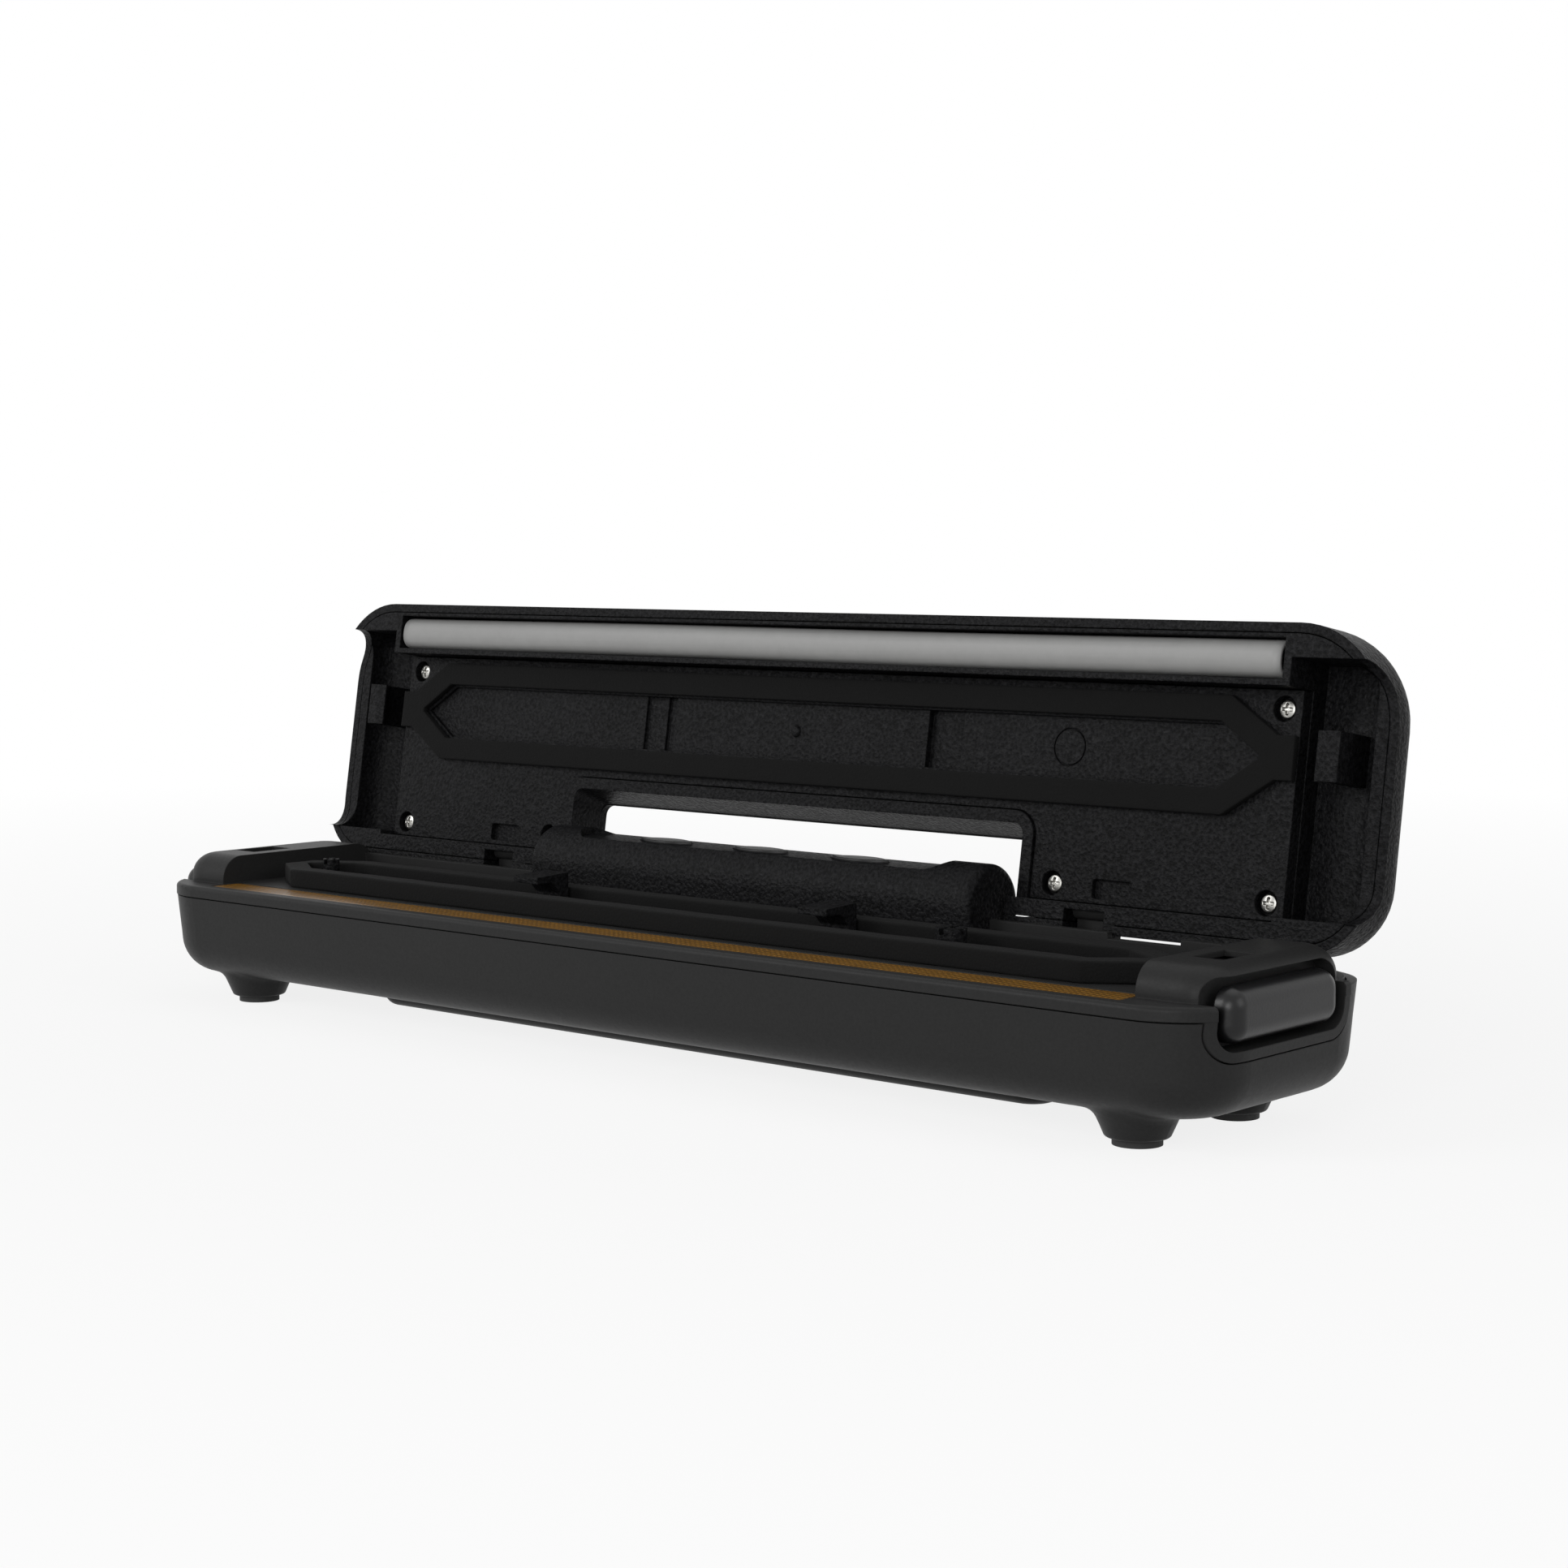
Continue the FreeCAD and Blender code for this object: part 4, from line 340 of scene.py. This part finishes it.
def coated_glass_cloth(name, tint):
    """Glass cloth woven from flat threads and coated, tea-coloured: the threads cross about every
    0.5 mm, drawn at 1.7 mm, and the coat gives a clear gloss over them."""
    thread_gap = 1.7 * MM
    thread_depth = 0.10 * MM
    stain_width = 9.0 * MM
    material, tree, place = new_finish(name)
    thread = WAVE_LENGTH / thread_gap
    warp = add(tree, "TexWave", {"Scale": thread, "Distortion": 0.6, "Detail": 1.0},
               {"Vector": (place, "Object")}, bands_direction="X")
    weft = add(tree, "TexWave", {"Scale": thread, "Distortion": 0.6, "Detail": 1.0},
               {"Vector": (place, "Object")}, bands_direction="Y")
    weave = add(tree, "Math", None, {0: (warp, "Fac"), 1: (weft, "Fac")}, operation="MULTIPLY")
    stain = add(tree, "TexNoise", {"Scale": 1.0 / stain_width, "Detail": 3.0},
                {"Vector": (place, "Object")})
    worn = blend_patterns(tree, 0.30, (weave, "Value"), (stain, "Fac"))
    bump = add(tree, "Bump", {"Strength": 0.8, "Distance": thread_depth}, {"Height": (weave, "Value")})
    tones = (shade(tint, 0.30), shade(tint, 2.0))
    close_finish(tree, tones, (worn, MIX_NUMBER_OUT), (0.30, 0.45), bump,
                 IOR=1.38, Coat_Weight=0.35, Coat_Roughness=0.25)
    return material


def rubbed_metal(name, tint, rough):
    """Plated steel or rolled alloy: bright, with a fine scatter of rubbing marks about 0.4 mm long."""
    mark_length = 0.4 * MM
    mark_depth = 0.03 * MM
    material, tree, place = new_finish(name)
    marks = add(tree, "TexNoise", {"Scale": 1.0 / mark_length, "Detail": 3.0},
                {"Vector": (place, "Object")})
    bump = add(tree, "Bump", {"Strength": 0.3, "Distance": mark_depth}, {"Height": (marks, "Fac")})
    tones = (shade(tint, 0.85), shade(tint, 1.08))
    close_finish(tree, tones, (marks, "Fac"), rough, bump, Metallic=1.0)
    return material


def moulded_soft(name, tint, rough, grain):
    """A plain moulded or pressed surface: dull, with a low mottle as wide as its grain."""
    mottle_depth = 0.05 * MM
    material, tree, place = new_finish(name)
    mottle = add(tree, "TexNoise", {"Scale": 1.0 / (grain * MM), "Detail": 3.0},
                 {"Vector": (place, "Object")})
    bump = add(tree, "Bump", {"Strength": 0.5, "Distance": mottle_depth}, {"Height": (mottle, "Fac")})
    tones = (shade(tint, 0.85), shade(tint, 1.18))
    close_finish(tree, tones, (mottle, "Fac"), rough, bump, IOR=1.50)
    return material


def make_finishes(tints):
    """Every finish, by the slot of the record that it belongs to. Grain and depth are in millimetres."""
    # The contrast of each ABS finish sets the strength of the painted highlight and painted shade on its
    # grain.
    return {
        "black_abs": moulded_abs("moulded_abs_pebble_grain", tints.black_abs, grain=1.0, depth=0.16,
                                 painted_glint_contrast=0.95, rough=(0.52, 0.34), gloss=0.05),
        "smooth_abs": moulded_abs("moulded_abs_smooth", tints.smooth_abs, grain=0.8, depth=0.006,
                                  painted_glint_contrast=0.1, rough=(0.48, 0.42), gloss=0.09),
        "satin_abs": moulded_abs("moulded_abs_satin", tints.satin_abs, grain=0.6, depth=0.008,
                                 painted_glint_contrast=0.1, rough=(0.36, 0.30), gloss=0.26),
        "foam_rubber": closed_cell_foam("die_cut_closed_cell_foam", tints.foam),
        "grey_silicone": extruded_silicone("extruded_grey_silicone", tints.silicone),
        "amber_glass_cloth": coated_glass_cloth("coated_woven_glass_cloth", tints.glass_cloth),
        "screw_steel": rubbed_metal("zinc_plated_steel", tints.zinc, (0.24, 0.40)),
        "foot_rubber": moulded_soft("moulded_rubber", tints.rubber, (0.72, 0.85), grain=1.2),
        "heat_board": moulded_soft("pressed_mica_board", tints.mica, (0.55, 0.70), grain=2.0),
        "heating_alloy": rubbed_metal("rolled_heating_alloy", tints.alloy, (0.30, 0.45)),
        "pump_plastic": moulded_soft("moulded_acetal", tints.pump, (0.42, 0.55), grain=3.0),
        "motor_steel": rubbed_metal("plated_motor_steel", tints.steel, (0.35, 0.50)),
        "circuit_board": moulded_soft("solder_mask_board", tints.board, (0.30, 0.42), grain=4.0),
    }


def lid_rest():
    """The lid's angle at rest, in radians, and its hinge: it is open by the hinge's whole range."""
    hinge = next(joint for joint in frame["joints"] if joint["name"] == "lid_hinge")
    return -math.radians(hinge["range_deg"][1]), np.array(hinge["pos_m"])


def on_lid(points):
    """Turns points given for the shut lid, in metres from the hinge line, to where the lid rests."""
    angle, hinge = lid_rest()
    across, back, up = points[..., 0], points[..., 1], points[..., 2]
    turned = (across, back * math.cos(angle) - up * math.sin(angle),
              back * math.sin(angle) + up * math.cos(angle))
    return np.stack(turned, axis=-1) + hinge


def grid_quads(rows, columns, ring_rows=False, ring_columns=False):
    """Corner numbers of the quads on a grid of points, closed round either way if asked."""
    down = np.arange(rows if ring_rows else rows - 1)[:, None]
    right = np.arange(columns if ring_columns else columns - 1)[None, :]
    below = (down + 1) % rows
    beside = (right + 1) % columns
    corners = (down * columns + right, down * columns + beside,
               below * columns + beside, below * columns + right)
    return np.stack(np.broadcast_arrays(*corners), axis=-1).reshape(-1, 4)


def face_outwards(points, quads):
    """Turns all faces round where the volume inside them, summed over fans of triangles, is negative."""
    first, second, third, fourth = (points[quads[:, corner]] for corner in range(4))
    inside = np.einsum("ij,ij->", first, np.cross(second, third))
    inside += np.einsum("ij,ij->", first, np.cross(third, fourth))
    return quads[:, ::-1] if inside < 0 else quads


def new_piece(name, points, quads, body, slot, replaced):
    """A mesh object from arrays of points and quads, riding on a body in place of a solid."""
    mesh = bpy.data.meshes.new(name)
    mesh.from_pydata(points.reshape(-1, 3).tolist(), [], quads.tolist())
    mesh.polygons.foreach_set("use_smooth", np.ones(len(mesh.polygons), bool))
    mesh.validate()
    piece = bpy.data.objects.new(name, mesh)
    bpy.context.scene.collection.objects.link(piece)
    piece.data.materials.append(bpy.data.materials[frame["finishes"][slot]])
    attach(piece, body)
    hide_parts(replaced)
    return piece


class SEALER_OT_finishes(bpy.types.Operator):
    """Gives every solid of the sealer the finish of its material slot"""

    bl_idname = "sealer.finishes"
    bl_label = "Finish the solids"

    def execute(self, context):
        finishes = make_finishes(context.scene.sealer_colours)
        frame["finishes"] = {slot: material.name for slot, material in finishes.items()}
        for part in frame["record"]["subparts"]:
            mesh = frame["nodes"][part["node"]].data
            finish = "smooth_abs" if part["node"] in SMOOTH_NODES else part["material_slot"]
            mesh.materials.clear()
            mesh.materials.append(finishes[finish])
        return {"FINISHED"}


class SEALER_OT_pressing_strip(bpy.types.Operator):
    """Makes the hollow silicone strip that presses the bag on the heating strip"""

    bl_idname = "sealer.pressing_strip"
    bl_label = "Pressing strip"

    def execute(self, context):
        """The profile is a C: a superellipse arch over straight legs, once outside and once a wall
        further in, carried straight along the lid with a slight slow bow."""
        sizes = context.scene.sealer_sizes
        turn = np.linspace(-0.5, 0.5, ARCH_POINTS) * math.pi
        outside = self.arch(turn, sizes, 0.0)
        inside = self.arch(turn, sizes, sizes.strip_wall)
        loop = np.concatenate((outside, inside[::-1]))
        along = np.linspace(-0.5, 0.5, STRIP_STEPS) * sizes.strip_length
        points = np.empty((len(along), len(loop), 3))
        points[..., 0] = along[:, None]
        points[..., 1] = loop[:, 0] + BOW_BACK[0] * MM * np.sin(along * BOW_BACK[1])[:, None]
        points[..., 2] = loop[:, 1] + BOW_UP[0] * MM * np.sin(along * BOW_UP[1] + BOW_START)[:, None]
        sides = grid_quads(len(along), len(loop), ring_columns=True)
        reach = np.arange(len(outside) - 1)
        last = len(loop) - 1
        cap = np.stack((reach, last - reach, last - reach - 1, reach + 1), axis=-1)
        far = cap[:, ::-1] + (len(along) - 1) * len(loop)
        quads = np.concatenate((sides, cap, far))
        points = on_lid(points).reshape(-1, 3)
        quads = face_outwards(points, quads)
        new_piece("silicone_strip", points, quads, "lid", "grey_silicone", "pressure_strip")
        return {"FINISHED"}

    @staticmethod
    def arch(turn, sizes, wall):
        """Half a superellipse of exponent 2.5 with a leg added at each end."""
        half = sizes.strip_half - wall
        depth = sizes.strip_crest - sizes.strip_shoulder - wall
        back = STRIP_MIDDLE * MM + half * np.sign(np.sin(turn)) * np.abs(np.sin(turn)) ** ARCH_POWER
        up = -sizes.strip_shoulder - depth * np.abs(np.cos(turn)) ** ARCH_POWER
        legs = np.full(1, STRIP_SEAT * MM)
        profile = (np.concatenate((back[:1], back, back[-1:])), np.concatenate((legs, up, legs)))
        return np.stack(profile, axis=-1)


class SEALER_OT_gaskets(bpy.types.Operator):
    """Makes the two foam rings that close the vacuum channel"""

    bl_idname = "sealer.gaskets"
    bl_label = "Foam rings"

    def execute(self, context):
        """The lower ring stands where its solid does, and the upper one lies in the lid's face."""
        sizes = context.scene.sealer_sizes
        low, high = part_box("lower_gasket")
        middle = Vector((low + high) / 2)
        lower = self.ring(RING_OUTER, RING_INNER, high.z - low.z, sizes.foam_wave)
        points = lower + np.array(middle)
        self.close("foam_ring_lower", points, "base", "lower_gasket")
        upper = self.ring(TAILED_OUTER, TAILED_INNER, sizes.foam_high, sizes.foam_wave)
        upper[..., 1] += RING_MIDDLE * MM
        upper[..., 2] += RING_FACE * MM - sizes.foam_high / 2
        self.close("foam_ring_upper", on_lid(upper), "lid", "upper_gasket")
        return {"FINISHED"}

    @staticmethod
    def ring(outer, inner, thick, wave):
        """The path runs along matched outer and inner corners. The section between them is a
        superellipse of exponent 9, so a block with round edges, whose top wanders in slow waves."""
        outer = np.concatenate((outer, -outer))
        inner = np.concatenate((inner, -inner))
        count = len(outer)
        step = np.linspace(0, count, count * STEPS_PER_SIDE, endpoint=False)
        corner = np.arange(count + 1)
        tracks = []
        for edge in (outer, inner):
            closed = np.append(edge, edge[:1], axis=0)
            line = [np.interp(step, corner, closed[:, axis]) for axis in (0, 1)]
            tracks.append(np.stack(line, axis=-1) * MM)
        turn = np.linspace(0, 2 * math.pi, SECTION_POINTS, endpoint=False)
        across = np.sign(np.cos(turn)) * np.abs(np.cos(turn)) ** SECTION_POWER
        up = np.sign(np.sin(turn)) * np.abs(np.sin(turn)) ** SECTION_POWER
        centre = (tracks[0] + tracks[1]) / 2
        reach = (tracks[0] - tracks[1]) / 2
        flat = centre[:, None, :] + reach[:, None, :] * across[None, :, None]
        first = np.sin(flat[..., 0] * FOAM_TURNS[0])
        second = np.sin(flat[..., 0] * FOAM_TURNS[1] + flat[..., 1] * FOAM_TURNS[2])
        ripple = wave * (first + second) / 2
        height = up * thick / 2 - np.abs(ripple) * np.abs(up)
        return np.concatenate((flat, height[..., None]), axis=-1)

    @staticmethod
    def close(name, points, body, replaced):
        """A foam ring from its grid of points, closed both ways."""
        quads = grid_quads(*points.shape[:2], ring_rows=True, ring_columns=True)
        points = points.reshape(-1, 3)
        piece = new_piece(name, points, face_outwards(points, quads), body, "foam_rubber", replaced)


class SEALER_OT_seal_tape(bpy.types.Operator):
    """Lays the coated cloth tape over the heating strip"""

    bl_idname = "sealer.seal_tape"
    bl_label = "Sealing tape"

    def execute(self, context):
        """A flat grid at the height of the solid tape's face, which sinks a little in slow waves and
        at its edges, where the tape is stuck down."""
        sizes = context.scene.sealer_sizes
        low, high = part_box("seal_tape")
        middle = (low + high) / 2
        along = np.linspace(-0.5, 0.5, TAPE_POINTS[0])[:, None] * sizes.tape_length
        across = np.linspace(-0.5, 0.5, TAPE_POINTS[1])[None, :] * sizes.tape_width
        share = across / (sizes.tape_width / 2)
        wave = 0.5 + 0.5 * np.sin(along * TAPE_TURNS[0] + across * TAPE_TURNS[1])
        drop = sizes.tape_wave * wave * (1 - share ** 2) + TAPE_EDGE_DROP * MM * share ** 4
        places = np.broadcast_arrays(middle.x + along, middle.y + across, high.z - drop)
        points = np.stack(places, axis=-1)
        quads = grid_quads(*points.shape[:2])[:, ::-1]
        points = points.reshape(-1, 3)
        piece = new_piece("cloth_tape", points, quads, "base", "amber_glass_cloth", "seal_tape")
        return {"FINISHED"}


class SEALER_OT_lid_screws(bpy.types.Operator):
    """Makes the lid's cross-head screws"""

    bl_idname = "sealer.lid_screws"
    bl_label = "Lid screws"

    def execute(self, context):
        """A screw is a profile turned about its axis: crown, rim, underside, shank and point. The
        crown is then pressed in along two crossed slots with sloping ends."""
        sizes = context.scene.sealer_sizes
        head, shank = sizes.screw_head, sizes.screw_shank
        crown = np.linspace(0, 1, CROWN_RINGS)[1:]
        below = [RIM_SHARE * head, head, head, shank, shank, 0.0]
        heights = [RIM_TOP, RIM_LOW, 0.0, 0.0, SHANK_END, POINT_END]
        reach = np.concatenate((crown * CROWN_SHARE * head, below))
        rise = np.concatenate((CROWN_TOP - CROWN_FALL * crown ** 2, heights)) * MM
        turn = np.linspace(0, 2 * math.pi, SCREW_POINTS, endpoint=False)
        right = reach[:, None] * np.cos(turn)
        ahead = reach[:, None] * np.sin(turn)
        slot = np.minimum(np.abs(right), np.abs(ahead))
        open_share = np.clip((CROSS_HALF * MM - slot) / (CROSS_SLOPE * MM), 0, 1)
        reached = np.hypot(right, ahead)
        end_share = np.clip((sizes.screw_cross - reached) / (CROSS_END_SLOPE * MM), 0, 1)
        crossed = rise[:, None] > CROSS_LOWEST * MM
        up = rise[:, None] - CROSS_DEPTH * MM * open_share * end_share * crossed
        one = np.stack((right, ahead, -up), axis=-1)
        pole = np.tile(np.array((0.0, 0.0, -CROSS_FLOOR * MM)), (1, len(turn), 1))
        one = np.concatenate((pole, one))
        quads = grid_quads(*one.shape[:2], ring_columns=True)
        floors = np.full((len(SCREW_PLACES), 1), SCREW_FLOOR)
        spots = np.concatenate((SCREW_PLACES, floors), axis=1) * MM
        points = on_lid((one.reshape(1, -1, 3) + spots[:, None, :])).reshape(-1, 3)
        first_points = np.arange(len(spots)) * one.shape[0] * one.shape[1]
        every = (quads[None] + first_points[:, None, None]).reshape(-1, 4)
        every = face_outwards(points, every)
        piece = new_piece("cross_head_screws", points, every, "lid", "screw_steel", "lid_screws")
        self.merge_poles(piece.data)
        return {"FINISHED"}

    @staticmethod
    def merge_poles(mesh):
        """Joins the points that fall together at each screw's two ends."""
        solid = bmesh.new()
        solid.from_mesh(mesh)
        bmesh.ops.remove_doubles(solid, verts=solid.verts, dist=SAME_POINT)
        solid.to_mesh(mesh)
        solid.free()


class SEALER_OT_studio(bpy.types.Operator):
    """Sets up the floor, the soft lights, the white background and the camera"""

    bl_idname = "sealer.studio"
    bl_label = "Studio"

    def execute(self, context):
        scene = context.scene
        scene.view_settings.view_transform = "Standard"
        self.floor(scene)
        self.background(scene)
        for name, (place, width, power) in LAMPS.items():
            self.lamp(scene, name, place, width, power)
        self.camera(scene)
        return {"FINISHED"}

    @staticmethod
    def seen_share(tree):
        """One where the camera, a reflection or clear material looks, and zero for other light."""
        rays = add(tree, "LightPath")
        plain = add(tree, "Math", None, {0: (rays, "Is Camera Ray"), 1: (rays, "Is Glossy Ray")},
                    operation="MAXIMUM")
        return add(tree, "Math", None, {0: (plain, "Value"), 1: (rays, "Is Transmission Ray")},
                   operation="MAXIMUM")

    def floor(self, scene):
        """A flat square of pale card that turns to plain white away from the object."""
        line = np.linspace(-FLOOR_HALF, FLOOR_HALF, FLOOR_LINES)
        points = np.stack(np.broadcast_arrays(line[None, :], line[:, None], 0.0), axis=-1)
        mesh = bpy.data.meshes.new("floor")
        quads = grid_quads(FLOOR_LINES, FLOOR_LINES)
        mesh.from_pydata(points.reshape(-1, 3).tolist(), [], quads.tolist())
        floor = bpy.data.objects.new("floor", mesh)
        scene.collection.objects.link(floor)
        material, tree, place = new_finish("pale_card")
        away = add(tree, "VectorMath", None, {0: (place, "Object")}, operation="LENGTH")
        distances = {"From Min": FADE_START, "From Max": FADE_END, "To Min": FADE_NEAR, "To Max": 1.0}
        fade = add(tree, "MapRange", distances, {"Value": (away, "Value")})
        seen = self.seen_share(tree)
        share = add(tree, "Math", None, {0: (fade, "Result"), 1: (seen, "Value")}, operation="MULTIPLY")
        card = add(tree, "BsdfDiffuse", {"Color": linear("#ececec")})
        white = add(tree, "Emission", {"Color": linear("#ffffff"), "Strength": 1.0})
        mixed = add(tree, "MixShader", None,
                    {0: (share, "Value"), 1: (card, "BSDF"), 2: (white, "Emission")})
        add(tree, "OutputMaterial", None, {"Surface": (mixed, "Shader")})
        mesh.materials.append(material)

    def background(self, scene):
        """White where the camera, a reflection or clear material sees it, dimmer as a light."""
        world = bpy.data.worlds.new("studio")
        scene.world = world
        world.use_nodes = True
        tree = world.node_tree
        tree.nodes.clear()
        seen = self.seen_share(tree)
        strength = add(tree, "MapRange", {"To Min": WORLD_AS_LIGHT, "To Max": 1.0},
                       {"Value": (seen, "Value")})
        white = add(tree, "Background", {"Color": linear("#ffffff")}, {"Strength": (strength, "Result")})
        add(tree, "OutputWorld", None, {"Surface": (white, "Background")})

    @staticmethod
    def lamp(scene, name, place, width, power):
        """A square soft box that faces the object's middle."""
        light = bpy.data.lights.new(name, "AREA")
        light.shape = "SQUARE"
        light.size = width
        light.energy = power
        lamp = bpy.data.objects.new(name, light)
        lamp.location = place
        lamp.rotation_euler = (LAMP_AIM - Vector(place)).to_track_quat("-Z", "Y").to_euler()
        scene.collection.objects.link(lamp)

    @staticmethod
    def camera(scene):
        """The photograph's view: from the front right, slightly above the worktop."""
        lens = bpy.data.cameras.new("camera")
        lens.lens = LENS
        lens.sensor_width = SENSOR
        lens.clip_start = NEAREST
        camera = bpy.data.objects.new("camera", lens)
        camera.location = EYE
        camera.rotation_euler = (EYE_AIM - EYE).to_track_quat("-Z", "Y").to_euler()
        scene.collection.objects.link(camera)
        scene.camera = camera


OPERATORS = (SEALER_OT_finishes, SEALER_OT_pressing_strip, SEALER_OT_gaskets, SEALER_OT_seal_tape,
             SEALER_OT_lid_screws, SEALER_OT_studio)


class VIEW3D_PT_sealer(bpy.types.Panel):
    """Lists the sealer's pieces and its studio"""

    bl_idname = "VIEW3D_PT_sealer"
    bl_label = "Vacuum sealer"
    bl_space_type = "VIEW_3D"
    bl_region_type = "UI"
    bl_category = "Sealer"

    def draw(self, context):
        for operator in OPERATORS:
            self.layout.operator(operator.bl_idname)


CLASSES = (SealerSizes, SealerColours, *OPERATORS, VIEW3D_PT_sealer)


def register():
    """Makes the classes known to Blender and hangs the sizes and colours on the scene."""
    for item in CLASSES:
        bpy.utils.register_class(item)
    bpy.types.Scene.sealer_sizes = bpy.props.PointerProperty(type=SealerSizes)
    bpy.types.Scene.sealer_colours = bpy.props.PointerProperty(type=SealerColours)


def unregister():
    """Undoes what register did, in the opposite order."""
    del bpy.types.Scene.sealer_colours
    del bpy.types.Scene.sealer_sizes
    for item in reversed(CLASSES):
        bpy.utils.unregister_class(item)


def main():
    """Dresses the sealer and sets up the studio."""
    register()
    bpy.ops.sealer.finishes()
    bpy.ops.sealer.pressing_strip()
    bpy.ops.sealer.gaskets()
    bpy.ops.sealer.seal_tape()
    bpy.ops.sealer.lid_screws()
    bpy.ops.sealer.studio()


if __name__ == "__main__":
    main()
